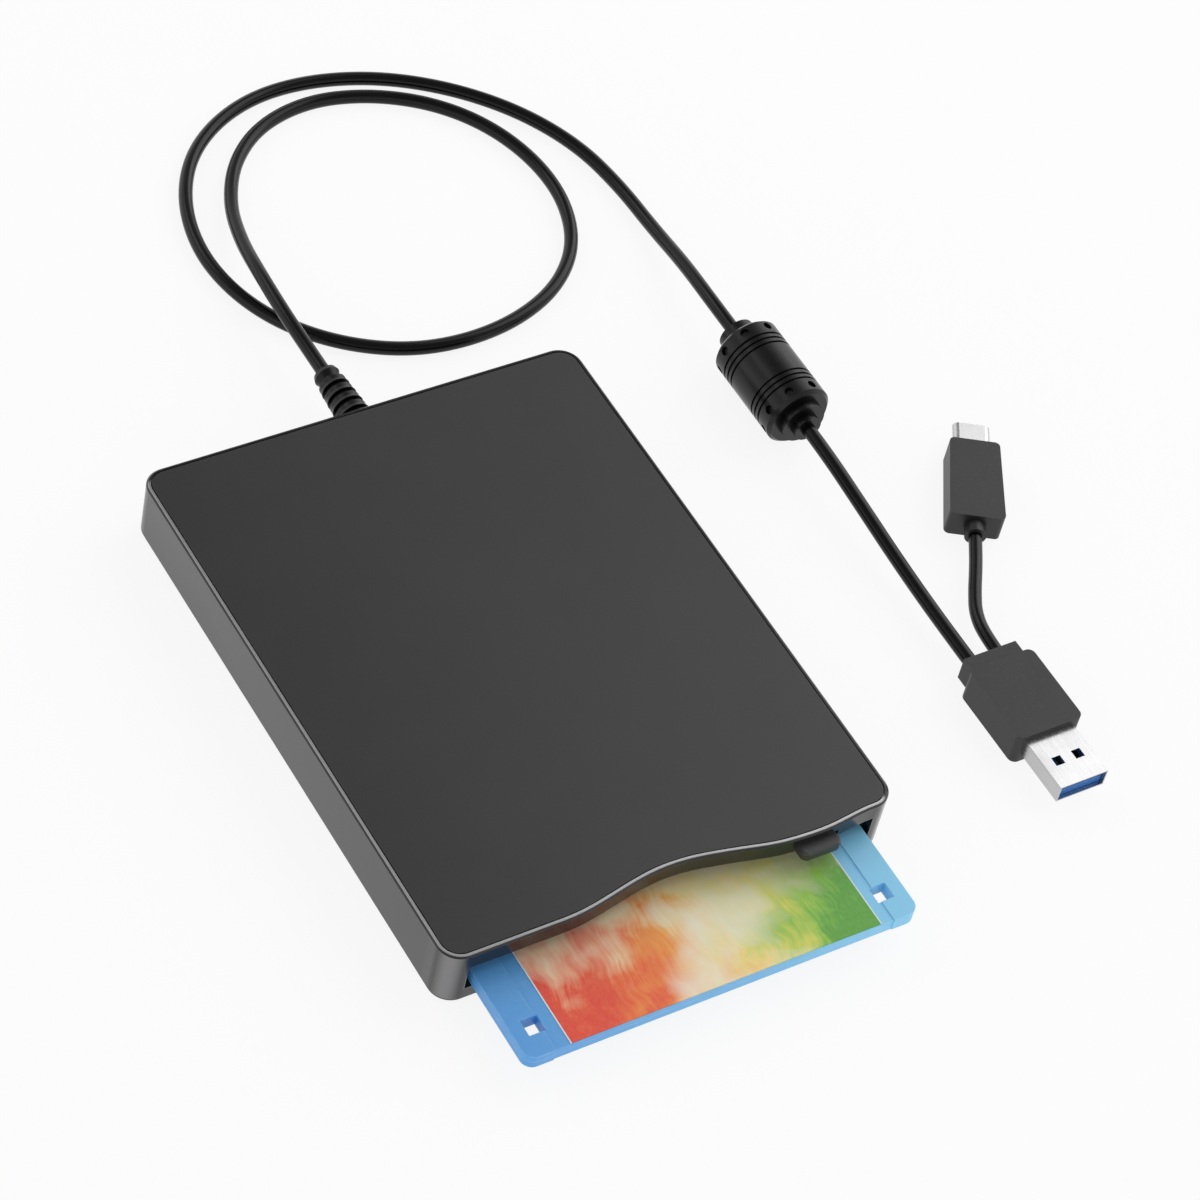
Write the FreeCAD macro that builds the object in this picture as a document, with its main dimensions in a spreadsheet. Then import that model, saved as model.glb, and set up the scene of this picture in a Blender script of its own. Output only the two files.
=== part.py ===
import FreeCAD, Part
import Sketcher
import math
import os

# External floppy disk drive for 90 mm disks, with its disk, cord and plugs.
# Frame: the floor is z = 0, the disk slot faces -Y, and the origin is under the middle of the part.

Vector = FreeCAD.Vector
doc = FreeCAD.newDocument("floppy_drive")
sheet = doc.addObject("Spreadsheet::Sheet", "sizes")

drivingSizes = {
    # casing
    "case_width": 103.4,
    "case_length": 134,
    "case_height": 14.4,
    "corner_radius": 5,
    "wall": 1.6,
    "top_plate": 1.2,
    "rim_width": 0.9,
    "rim_chamfer": 0.45,
    "panel_thick": 0.6,
    "panel_gap": 0.25,
    "base_plate": 0.8,
    "base_inset": 0.35,
    "dip_depth": 3.5,
    "dip_half_width": 26,
    "bulge": 1.1,
    "bulge_centre": 33,
    "bulge_left": 20,
    "bulge_right": 13.5,
    "wave_span": 93.4,
    "slot_width": 93.2,
    "slot_rise": 3.7,
    "slot_height": 6.75,
    "foot_height": 0.6,
    "foot_radius": 4.5,
    "foot_recess": 0.3,
    "foot_inset": 14,
    "post_radius": 1.7,
    "post_inset": 2.3,
    "screw_radius": 0.8,
    "screw_head": 1.5,
    "screw_length": 5,
    "screw_inset": 3.3,
    # disk
    "disk_width": 90,
    "disk_length": 94,
    "disk_thick": 3.3,
    "disk_proud": 21.5,
    "disk_rise": 4,
    "disk_corner": 2.5,
    "disk_wall": 0.9,
    "hub_from_edge": 45.5,
    "hub_radius": 12.5,
    "hub_thick": 1.2,
    "media_radius": 43,
    "media_thick": 0.3,
    "liner_thick": 0.15,
    "hub_hole_gap": 1.2,
    "window_width": 9.5,
    "window_inner": 19,
    "window_length": 24,
    "corner_hole": 3.8,
    "corner_hole_side": 3,
    "corner_hole_edge": 4.9,
    "label_width": 71.5,
    "label_length": 57,
    "label_thick": 0.15,
    "label_shift": 0.3,
    "step_width": 77.7,
    "step_shift": 0.05,
    "step_depth": 0.25,
    "step_setback": 0.2,
    "shutter_width": 34,
    "shutter_leg": 30,
    "shutter_sheet": 0.2,
    "shutter_left": 12,
    "shutter_travel": 20,
    "shutter_recess": 0.3,
    "shutter_spine": 0.4,
    "spine_gap": 0.2,
    # eject button, slider and cradle
    "button_width": 9.2,
    "button_centre": 32.2,
    "button_top": 12,
    "button_thick": 2,
    "button_proud": 3.7,
    "button_gap": 0.5,
    "eject_travel": 3,
    "lift_travel": 1.5,
    "slider_sheet": 0.6,
    "slider_gap": 0.3,
    "slider_bar": 26,
    "cradle_sheet": 0.6,
    "cradle_gap": 0.2,
    "cradle_side_gap": 0.6,
    "rail_width": 3,
    "pin_radius": 0.7,
    "pin_clearance": 0.1,
    "pin_rise": 7.6,
    "pin_front": 12,
    "pin_back": 84,
    # drive frame and spindle
    "chassis_sheet": 0.6,
    "chassis_side": 48.4,
    "side_height": 9.5,
    "rotor_radius": 16.5,
    "rotor_sheet": 0.5,
    "rotor_skirt": 1.6,
    "chuck_radius": 11.5,
    "shaft_radius": 1.75,
    "running_fit": 0.05,
    "bearing_radius": 3.5,
    "stator_radius": 14.6,
    "stator_core": 6,
    "stator_thick": 0.9,
    "motor_board": 0.6,
    "motor_opening": 20,
    "spindle_gap": 0.15,
    "drive_pin_radius": 0.8,
    "drive_pin_offset": 9,
    # head carriage
    "head_radius_rest": 29.75,
    "head_travel_in": 9.75,
    "head_travel_out": 9.75,
    "head_size": 5,
    "arm_width": 8,
    "arm_thick": 1,
    "head_gap": 0.15,
    "carriage_width": 24,
    "carriage_length": 10,
    "carriage_front": 106,
    "rod_radius": 1.2,
    "rod_offset": 9,
    "rod_level": 4.1,
    "rod_start": 95.2,
    "rod_length": 34,
    "screw_offset": 22,
    "screw_level": 6.6,
    "lead_radius": 1.5,
    "lead_pitch": 3,
    "lead_length": 26,
    "lead_start": 97,
    "stepper_radius": 4.5,
    "stepper_length": 9,
    # ejector
    "lever_length": 32,
    "lever_sweep": 53.8,
    "lever_width": 4,
    "lever_level": 9,
    "lever_pin_radius": 1,
    "lever_pin_gap": 2.6,
    "lever_tip": 31,
    "block_width": 8,
    "block_length": 4,
    "block_centre": -30,
    "block_gap": 0.1,
    # cord and plugs
    "cord_radius": 1.6,
    "c_cord_radius": 1.5,
    "relief_length": 17,
    "relief_tip": 2.95,
    "relief_base": 3.95,
    "relief_level": 7.8,
    "relief_flange": 5.2,
    "relief_centre": 1.6,
    "rib_groove": 0.9,
    "rib_first": 1.5,
    "rib_pitch": 2.8,
    "barrel_across": 92.8,
    "barrel_along": 45.7,
    "barrel_radius": 7.8,
    "barrel_length": 23.3,
    "barrel_edge": 0.8,
    "barrel_groove": 0.35,
    "groove_first": 4.2,
    "groove_pitch": 1.4,
    "groove_width": 0.6,
    "dimple_radius": 1,
    "dimple_depth": 0.7,
    "dimple_inset": 2.3,
    "collar_radius": 4.2,
    "collar_length": 3.7,
    "plug_across": 96.5,
    "plug_along": -29.3,
    "plug_width": 16.2,
    "plug_length": 20,
    "plug_height": 8,
    "shell_width": 12,
    "shell_height": 4.5,
    "shell_length": 13,
    "shell_sheet": 0.3,
    "shell_hole": 2.2,
    "tongue_thick": 1.9,
    "contact_width": 1,
    "contact_length": 7.5,
    "contact_thick": 0.12,
    "c_plug_width": 12.4,
    "c_plug_length": 22.6,
    "c_plug_height": 6.6,
    "c_shell_width": 8.3,
    "c_shell_height": 2.5,
    "c_shell_length": 6.6,
    "c_shell_sheet": 0.25,
    "c_tongue_width": 6.6,
    "c_tongue_thick": 0.7,
    # control board
    "board_width": 30,
    "board_length": 27,
    "board_thick": 0.8,
    "board_gap": 0.4,
    "board_inset": 1.2,
    "chip_thick": 1.2,
}

# Sizes that follow the disk, so that another disk gets a drive that fits it.
tiedSizes = {
    "case_width": "disk_width + 13.4",
    "case_length": "disk_length + 40",
    "slot_width": "disk_width + 3.2",
    "chassis_side": "disk_width / 2 + 3.4",
    "label_width": "disk_width - 18.5",
    "step_width": "disk_width - 12.3",
    "pin_back": "disk_length - 10",
    "rod_start": "disk_length + 1.2",
    "lead_start": "disk_length + 3",
    "carriage_front": "disk_length + 12",
    "lever_tip": "disk_width / 2 - 14",
    "block_centre": "-disk_width / 3",
}


def writeSheet():
    for row, (alias, value) in enumerate(drivingSizes.items(), start=1):
        sheet.set(f"A{row}", alias)
        sheet.set(f"B{row}", str(value))
        sheet.setAlias(f"B{row}", alias)
    doc.recompute()
    for alias, formula in tiedSizes.items():
        sheet.set(sheet.getCellFromAlias(alias), "=" + formula)
    doc.recompute()


def size(expression):
    """Value of an expression of the sheet's sizes."""
    return float(sheet.evalExpression(expression))


writeSheet()

# Places that many pieces share, as expressions of the sheet.
front = "(-(sizes.case_length - sizes.disk_proud) / 2)"
back = "((sizes.case_length + sizes.disk_proud) / 2)"
side = "(sizes.case_width / 2)"
caseLow = "sizes.foot_height"
caseTop = "(sizes.foot_height + sizes.case_height)"
baseTop = "(sizes.foot_height + sizes.base_plate)"
ceiling = f"({caseTop} - sizes.panel_thick - sizes.top_plate)"
chassisTop = f"({baseTop} + sizes.chassis_sheet)"
diskLow = "(sizes.foot_height + sizes.disk_rise)"
diskTop = f"({diskLow} + sizes.disk_thick)"
diskFront = "(-(sizes.case_length + sizes.disk_proud) / 2)"
diskBack = f"({diskFront} + sizes.disk_length)"
hubCentre = f"({diskBack} - sizes.hub_from_edge)"
spindleCentre = f"({hubCentre} + sizes.disk_proud)"
slotLow = f"({caseLow} + sizes.slot_rise)"

pieces = []


def piece(label, shape):
    shape.Label = label
    pieces.append(shape)
    return shape


# Plain solids bound to the sheet.

def bind(obj, **expressions):
    for name, expression in expressions.items():
        obj.setExpression(name.replace("_", "."), str(expression))


def place(obj, x, y, z):
    obj.setExpression("Placement.Base.x", str(x))
    obj.setExpression("Placement.Base.y", str(y))
    obj.setExpression("Placement.Base.z", str(z))


def box(name, width, length, height, x, y, z):
    """Box whose left front lower corner is at x, y, z."""
    obj = doc.addObject("Part::Box", name)
    bind(obj, Length=width, Width=length, Height=height)
    place(obj, x, y, z)
    return obj


def middleBox(name, width, length, height, x, y, z):
    """Box centred on x, with its front lower edge at y, z."""
    return box(name, width, length, height, f"{x} - ({width}) / 2", y, z)


def cylinder(name, radius, height, x, y, z, axis="z"):
    obj = doc.addObject("Part::Cylinder", name)
    bind(obj, Radius=radius, Height=height)
    if axis == "y":
        obj.Placement = FreeCAD.Placement(Vector(), FreeCAD.Rotation(Vector(1, 0, 0), -90))
    if axis == "x":
        obj.Placement = FreeCAD.Placement(Vector(), FreeCAD.Rotation(Vector(0, 1, 0), 90))
    place(obj, x, y, z)
    return obj


def fuse(name, *shapes):
    obj = doc.addObject("Part::MultiFuse", name)
    obj.Shapes = list(shapes)
    obj.Refine = True
    return obj


def cut(name, base, *tools):
    obj = doc.addObject("Part::Cut", name)
    obj.Base = base
    obj.Tool = tools[0] if len(tools) == 1 else fuse(name + "_tools", *tools)
    obj.Refine = True
    return obj


def group(name, *solids):
    obj = doc.addObject("Part::Compound", name)
    obj.Links = list(solids)
    return obj


# Bodies made from sketches.

def planeOf(body, role):
    for feature in body.Origin.OriginFeatures:
        if feature.Role == role:
            return feature
    raise ValueError(role)


def newSketch(body, name, level="0", role="XY_Plane"):
    sketch = body.newObject("Sketcher::SketchObject", name)
    sketch.AttachmentSupport = [(planeOf(body, role), "")]
    sketch.MapMode = "FlatFace"
    sketch.setExpression("AttachmentOffset.Base.z", level)
    return sketch


def bindPoint(sketch, geometry, vertex, x, y):
    for kind, expression in (("DistanceX", x), ("DistanceY", y)):
        constraint = Sketcher.Constraint(kind, -1, 1, geometry, vertex, size(expression))
        index = sketch.addConstraint(constraint)
        sketch.setExpression(f"Constraints[{index}]", expression)


def polygon(sketch, corners):
    """Closed outline whose corners are pairs of expressions."""
    points = [Vector(size(x), size(y), 0) for x, y in corners]
    count = len(points)
    lines = [sketch.addGeometry(Part.LineSegment(points[i], points[(i + 1) % count])) for i in range(count)]
    for i in range(count):
        sketch.addConstraint(Sketcher.Constraint("Coincident", lines[i - 1], 2, lines[i], 1))
    for line, (x, y) in zip(lines, corners):
        bindPoint(sketch, line, 1, x, y)


def rectangle(sketch, left, low, right, high):
    polygon(sketch, [(left, low), (right, low), (right, high), (left, high)])


def circle(sketch, x, y, radius):
    geometry = sketch.addGeometry(Part.Circle(Vector(size(x), size(y), 0), Vector(0, 0, 1), size(radius)))
    bindPoint(sketch, geometry, 3, x, y)
    index = sketch.addConstraint(Sketcher.Constraint("Radius", geometry, size(radius)))
    sketch.setExpression(f"Constraints[{index}]", radius)


def frontDepth(x):
    """How far the front wall stands in from the straight front: a scoop in the middle and a swell beside it,
    stretched to the straight between the corners."""
    x = x * size(f"sizes.wave_span / (2 * ({side} - sizes.corner_radius))")
    depth = 0.0
    scoop = abs(x) / size("sizes.dip_half_width")
    if scoop < 1:
        depth += size("sizes.dip_depth") * (1 + math.cos(math.pi * scoop)) / 2
    away = x - size("sizes.bulge_centre")
    reach = size("sizes.bulge_right") if away > 0 else size("sizes.bulge_left")
    if abs(away) < reach:
        depth -= size("sizes.bulge") * (1 + math.cos(math.pi * away / reach)) / 2
    return depth


def caseOutline(sketch, inset):
    """Rounded casing outline with the waved front, set in all round by inset."""
    inward = size(inset)
    radius = max(size("sizes.corner_radius") - inward, 0.5)
    right = size(side) - inward
    low = size(front) + inward
    high = size(back) - inward
    steps = 28
    wave = []
    for i in range(steps + 1):
        x = -right + radius + (right - radius) * 2 * i / steps
        wave.append(Vector(x, low + frontDepth(x), 0))
    spline = Part.BSplineCurve()
    spline.interpolate(Points=wave, InitialTangent=Vector(1, 0, 0), FinalTangent=Vector(1, 0, 0))
    half = math.sqrt(0.5) * radius

    def corner(x, y, dx, dy):
        start = Vector(x + (radius if dx * dy < 0 else 0) * dx, y + (radius if dx * dy > 0 else 0) * dy, 0)
        middle = Vector(x + half * dx, y + half * dy, 0)
        end = Vector(x + (radius if dx * dy > 0 else 0) * dx, y + (radius if dx * dy < 0 else 0) * dy, 0)
        return Part.Arc(start, middle, end)

    inner = right - radius
    sketch.addGeometry(spline)
    sketch.addGeometry(corner(inner, low + radius, 1, -1))
    sketch.addGeometry(Part.LineSegment(Vector(right, low + radius, 0), Vector(right, high - radius, 0)))
    sketch.addGeometry(corner(inner, high - radius, 1, 1))
    sketch.addGeometry(Part.LineSegment(Vector(inner, high, 0), Vector(-inner, high, 0)))
    sketch.addGeometry(corner(-inner, high - radius, -1, 1))
    sketch.addGeometry(Part.LineSegment(Vector(-right, high - radius, 0), Vector(-right, low + radius, 0)))
    sketch.addGeometry(corner(-inner, low + radius, -1, -1))


def pad(body, sketch, length, name):
    feature = body.newObject("PartDesign::Pad", name)
    feature.Profile = sketch
    feature.setExpression("Length", length)
    body.Tip = feature
    return feature


def pocket(body, sketch, length, name, upward=False):
    feature = body.newObject("PartDesign::Pocket", name)
    feature.Profile = sketch
    feature.setExpression("Length", length)
    feature.Reversed = upward
    body.Tip = feature
    return feature


def revolve(body, sketch, name):
    """Full turn about the sketch's own vertical axis."""
    feature = body.newObject("PartDesign::Revolution", name)
    feature.Profile = sketch
    feature.ReferenceAxis = (sketch, ["V_Axis"])
    feature.Angle = 360
    body.Tip = feature
    return feature


def edgesWhere(feature, test):
    doc.recompute()
    return [f"Edge{i}" for i, edge in enumerate(feature.Shape.Edges, start=1) if test(edge)]


def dress(body, kind, feature, edges, amount, name):
    """Fillet or Chamfer on named edges."""
    dressing = body.newObject("PartDesign::" + kind, name)
    dressing.Base = (feature, edges)
    dressing.setExpression("Radius" if kind == "Fillet" else "Size", amount)
    body.Tip = dressing
    return dressing


def upright(edge):
    first, last = edge.Vertexes[0].Point, edge.Vertexes[-1].Point
    return abs(first.x - last.x) < 1e-6 and abs(first.y - last.y) < 1e-6 and abs(first.z - last.z) > 1e-6


def atLevel(edge, level):
    return all(abs(vertex.Z - level) < 1e-6 for vertex in edge.Vertexes)


# Casing.

def postPlaces():
    x = f"({side} - sizes.screw_inset)"
    nearFront = f"({front} + sizes.wall + sizes.post_inset)"
    nearBack = f"({back} - sizes.wall - sizes.post_inset)"
    return [(x, nearFront), (f"(-{x})", nearFront), (x, nearBack), (f"(-{x})", nearBack)]


def makeTopCover():
    body = doc.addObject("PartDesign::Body", "top_cover")
    outline = newSketch(body, "cover_outline", baseTop)
    caseOutline(outline, "0")
    block = pad(body, outline, f"{caseTop} - {baseTop}", "cover_block")
    rim = edgesWhere(block, lambda edge: atLevel(edge, size(caseTop)))
    dress(body, "Chamfer", block, rim, "sizes.rim_chamfer", "rim_edge")
    recess = newSketch(body, "panel_recess_outline", caseTop)
    caseOutline(recess, "sizes.rim_width")
    pocket(body, recess, "sizes.panel_thick", "panel_recess")
    room = newSketch(body, "room_outline", baseTop)
    caseOutline(room, "sizes.wall")
    pocket(body, room, f"{ceiling} - {baseTop}", "room", upward=True)
    slot = newSketch(body, "slot_outline", slotLow)
    halfSlot = "(sizes.slot_width / 2)"
    reach = f"({front} - sizes.bulge - 1)"
    inside = f"({front} + sizes.dip_depth + sizes.wall + 1)"
    rectangle(slot, f"-{halfSlot}", reach, halfSlot, inside)
    pocket(body, slot, "sizes.slot_height", "slot", upward=True)
    notch = newSketch(body, "notch_outline", f"{slotLow} + sizes.slot_height / 2")
    halfNotch = "(sizes.button_width / 2 + sizes.button_gap)"
    rectangle(notch, f"sizes.button_centre - {halfNotch}", reach, f"sizes.button_centre + {halfNotch}", inside)
    top = f"({caseLow} + sizes.button_top + sizes.button_gap)"
    pocket(body, notch, f"{top} - ({slotLow} + sizes.slot_height / 2)", "button_notch", upward=True)
    bore = newSketch(body, "cord_hole_outline", f"-({back} + 1)", "XZ_Plane")
    circle(bore, "sizes.relief_centre", "sizes.relief_level", "sizes.relief_base")
    pocket(body, bore, "sizes.wall + 2", "cord_hole", upward=True)
    posts = newSketch(body, "post_outlines", f"{baseTop}")
    for x, y in postPlaces():
        circle(posts, x, y, "sizes.post_radius")
    pad(body, posts, f"{ceiling} - {baseTop}", "posts")
    holes = newSketch(body, "post_hole_outlines", baseTop)
    for x, y in postPlaces():
        circle(holes, x, y, "sizes.screw_radius")
    pocket(body, holes, "sizes.screw_length", "post_holes", upward=True)
    return piece("top_cover", body)


def makeTopPanel():
    body = doc.addObject("PartDesign::Body", "top_panel")
    outline = newSketch(body, "panel_outline", f"{caseTop} - sizes.panel_thick")
    caseOutline(outline, "sizes.rim_width + sizes.panel_gap")
    pad(body, outline, "sizes.panel_thick", "panel_sheet")
    return piece("top_panel", body)


def footPlaces():
    x = f"({side} - sizes.foot_inset)"
    return [(x, f"({front} + sizes.foot_inset)"), (f"(-{x})", f"({front} + sizes.foot_inset)"),
            (x, f"({back} - sizes.foot_inset)"), (f"(-{x})", f"({back} - sizes.foot_inset)")]


def makeBottomCover():
    body = doc.addObject("PartDesign::Body", "bottom_cover")
    outline = newSketch(body, "base_outline", caseLow)
    caseOutline(outline, "sizes.base_inset")
    pad(body, outline, "sizes.base_plate", "base_sheet")
    recesses = newSketch(body, "foot_recess_outlines", caseLow)
    for x, y in footPlaces():
        circle(recesses, x, y, "sizes.foot_radius + 0.1")
    pocket(body, recesses, "sizes.foot_recess", "foot_recesses", upward=True)
    holes = newSketch(body, "screw_hole_outlines", caseLow)
    for x, y in postPlaces():
        circle(holes, x, y, "sizes.screw_head + 0.1")
    pocket(body, holes, "sizes.base_plate", "screw_holes", upward=True)
    return piece("bottom_cover", body)


def makeFeet():
    feet = []
    for number, (x, y) in enumerate(footPlaces()):
        height = "(sizes.foot_height + sizes.foot_recess)"
        foot = cylinder(f"foot_{number}", "sizes.foot_radius", height, x, y, "0")
        feet.append(foot)
    return piece("feet", group("foot_group", *feet))


def makeCaseScrews():
    screws = []
    for number, (x, y) in enumerate(postPlaces()):
        head = cylinder(f"screw_head_{number}", "sizes.screw_head", "sizes.base_plate - 0.1", x, y,
                        f"{caseLow} + 0.1")
        shank = cylinder(f"screw_shank_{number}", "sizes.screw_radius", "sizes.screw_length - 0.2", x, y,
                         f"{baseTop} - 0.1")
        screws.append(fuse(f"case_screw_{number}", head, shank))
    return piece("case_screws", group("case_screw_group", *screws))


# Drive frame.

def makeChassis():
    plateSide = "sizes.chassis_side"
    length = "(sizes.case_length - 2 * sizes.wall - 8)"
    start = f"({front} + sizes.wall + 6)"
    plate = middleBox("chassis_plate", f"2 * {plateSide}", length, "sizes.chassis_sheet", "0", start, baseTop)
    opening = cylinder("motor_opening_cut", "sizes.motor_opening", "sizes.chassis_sheet + 2", "0",
                       spindleCentre, f"{baseTop} - 1")
    postCuts = [cylinder(f"post_cut_{i}", "sizes.post_radius + 0.4", "sizes.side_height + 4", x, y, f"{baseTop} - 1")
                for i, (x, y) in enumerate(postPlaces())]
    wallStart = f"({front} + sizes.wall + sizes.foot_inset + 2)"
    wallLength = "(sizes.pin_back + 8 - sizes.foot_inset)"
    walls = []
    slots = []
    for name, x in (("left", f"-{plateSide}"), ("right", f"{plateSide} - sizes.chassis_sheet")):
        walls.append(box(f"chassis_wall_{name}", "sizes.chassis_sheet", wallLength, "sizes.side_height",
                         x, wallStart, baseTop))
        for end in ("front", "back"):
            slots.append(box(f"guide_slot_{name}_{end}", "sizes.chassis_sheet + 2",
                             "2 * (sizes.pin_radius + sizes.pin_clearance)",
                             "sizes.lift_travel + 2 * (sizes.pin_radius + sizes.pin_clearance)",
                             f"{x} - 1",
                             f"{front} + sizes.pin_{end} - sizes.pin_radius - sizes.pin_clearance",
                             f"{caseLow} + sizes.pin_rise - sizes.pin_radius - sizes.pin_clearance"))
    lugs = []
    for name, y in (("front", f"{front} + sizes.rod_start"),
                    ("back", f"{front} + sizes.rod_start + sizes.rod_length - sizes.chassis_sheet")):
        for sign in ("", "-"):
            lugs.append(middleBox(f"rod_lug_{name}_{len(lugs)}", "5", "sizes.chassis_sheet",
                                  f"sizes.rod_level + sizes.rod_radius + 0.6 - {baseTop}",
                                  f"{sign}sizes.rod_offset", y, baseTop))
    rods = [cylinder(f"rod_hole_{i}", "sizes.rod_radius", "sizes.rod_length + 2",
                     f"{sign}sizes.rod_offset", f"{front} + sizes.rod_start - 1", "sizes.rod_level", "y")
            for i, sign in enumerate(("", "-"))]
    body = fuse("chassis_bends", plate, *walls, *lugs)
    return piece("drive_chassis", cut("chassis", body, opening, *postCuts, *slots, *rods))


def makeGuideRods():
    rods = [cylinder(f"guide_rod_{i}", "sizes.rod_radius", "sizes.rod_length",
                     f"{sign}sizes.rod_offset", f"{front} + sizes.rod_start", "sizes.rod_level", "y")
            for i, sign in enumerate(("", "-"))]
    return piece("guide_rods", group("guide_rod_group", *rods))


# Spindle motor.

rotorTop = f"({diskLow} - sizes.spindle_gap - 0.5)"
rotorLow = f"({rotorTop} - sizes.rotor_sheet)"


def makeMotorBoard():
    board = cylinder("motor_board_disc", "sizes.motor_opening - 0.2", "sizes.motor_board", "0",
                     spindleCentre, baseTop)
    return piece("motor_board", board)


def makeStator():
    boardTop = f"({baseTop} + sizes.motor_board)"
    core = cylinder("stator_ring", "sizes.stator_core", "sizes.stator_thick", "0", spindleCentre, boardTop)
    bore = cylinder("stator_bore", "sizes.bearing_radius", "3", "0", spindleCentre, f"{boardTop} - 1")
    arms = []
    for number in range(9):
        angle = number * 40
        arm = box(f"stator_arm_{number}", "sizes.stator_radius - sizes.stator_core + 1.5", "2.6",
                  "sizes.stator_thick", "0", spindleCentre, boardTop)
        turn = FreeCAD.Rotation(Vector(0, 0, 1), angle)
        offset = turn.multVec(Vector(size("sizes.stator_core") - 1.5, -1.3, 0))
        arm.Placement = FreeCAD.Placement(Vector(), turn)
        place(arm, str(offset.x), f"{spindleCentre} + {offset.y}", boardTop)
        arms.append(arm)
    return piece("stator", cut("stator_core_cut", fuse("stator_arms", core, *arms), bore))


def makeBearing():
    boardTop = f"({baseTop} + sizes.motor_board)"
    sleeve = cylinder("bearing_sleeve", "sizes.bearing_radius", f"{rotorLow} - {boardTop} - 0.2", "0",
                      spindleCentre, boardTop)
    bore = cylinder("bearing_bore", "sizes.shaft_radius + sizes.running_fit", "6", "0", spindleCentre,
                    f"{boardTop} - 1")
    return piece("spindle_bearing", cut("bearing", sleeve, bore))


def makeRotor():
    body = doc.addObject("PartDesign::Body", "spindle_rotor")
    profile = newSketch(body, "rotor_profile", "0", "XZ_Plane")
    shaft = "sizes.shaft_radius"
    skirt = f"({rotorLow} - sizes.rotor_skirt + 0.5)"
    polygon(profile, [
        (shaft, rotorLow),
        ("sizes.rotor_radius - sizes.rotor_sheet", rotorLow),
        ("sizes.rotor_radius - sizes.rotor_sheet", skirt),
        ("sizes.rotor_radius", skirt),
        ("sizes.rotor_radius", f"{rotorTop} - 0.1"),
        ("sizes.rotor_radius - 0.6", rotorTop),
        ("sizes.chuck_radius", rotorTop),
        ("sizes.chuck_radius - 0.2", f"{rotorTop} + 0.35"),
        (shaft, f"{rotorTop} + 0.35"),
    ])
    revolve(body, profile, "rotor_turn")
    place(body, "0", spindleCentre, "0")
    return piece("spindle_rotor", body)


def makeSpindleShaft():
    low = f"({baseTop} + sizes.motor_board)"
    shaft = cylinder("spindle_shaft_rod", "sizes.shaft_radius", f"{diskLow} - sizes.spindle_gap - {low}", "0",
                     spindleCentre, low)
    return piece("spindle_shaft", shaft)


def makeDrivePin():
    base = f"({rotorTop} + 0.35)"
    pin = cylinder("drive_pin_rod", "sizes.drive_pin_radius", f"{diskLow} - sizes.spindle_gap / 2 - {base}",
                   "sizes.drive_pin_offset", spindleCentre, base)
    return piece("drive_pin", pin)


# Head carriage.

headY = f"({spindleCentre} + sizes.head_radius_rest)"
carriageY = f"({front} + sizes.carriage_front)"
carriageLow = f"({chassisTop} + 0.5)"
hingeY = f"({carriageY} + sizes.carriage_length / 2)"
hingeZ = f"({diskTop} + 2)"


def makeCarriage():
    height = f"(sizes.rod_level + sizes.rod_radius + 0.4 - {carriageLow})"
    body = middleBox("carriage_block", "sizes.carriage_width", "sizes.carriage_length", height, "0", carriageY,
                     carriageLow)
    arm = middleBox("lower_arm", "sizes.arm_width", f"{carriageY} - {headY} + sizes.head_size / 2 + 0.2",
                    "sizes.arm_thick", "0", f"{headY} - sizes.head_size / 2 - 0.1", carriageLow)
    towers = [box(f"tower_{i}", "1.6", "4", f"{hingeZ} + 1.2 - {carriageLow}", x, f"{hingeY} - 2", carriageLow)
              for i, x in enumerate(("-sizes.arm_width / 2 - 1.8", "sizes.arm_width / 2 + 0.2"))]
    nut = middleBox("follower_nut", "5", "4", f"sizes.screw_level + 1.9 - {carriageLow}", "sizes.screw_offset",
                    f"{carriageY} + 1", carriageLow)
    bridge = box("follower_bridge", "sizes.screw_offset - sizes.carriage_width / 2", "4", "2",
                 "sizes.carriage_width / 2 - 0.5", f"{carriageY} + 1", carriageLow)
    bores = [cylinder(f"carriage_bore_{i}", "sizes.rod_radius + sizes.running_fit", "sizes.carriage_length + 2",
                      f"{sign}sizes.rod_offset", f"{carriageY} - 1", "sizes.rod_level", "y")
             for i, sign in enumerate(("", "-"))]
    screwBore = cylinder("follower_bore", "sizes.lead_radius + sizes.running_fit", "sizes.carriage_length + 2",
                         "sizes.screw_offset", f"{carriageY} - 1", "sizes.screw_level", "y")
    pinBore = cylinder("hinge_bore", "0.8", "sizes.arm_width + 8", "-sizes.arm_width / 2 - 4", hingeY, hingeZ, "x")
    solid = fuse("carriage_parts", body, arm, *towers, nut, bridge)
    return piece("head_carriage", cut("carriage", solid, *bores, screwBore, pinBore))


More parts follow.
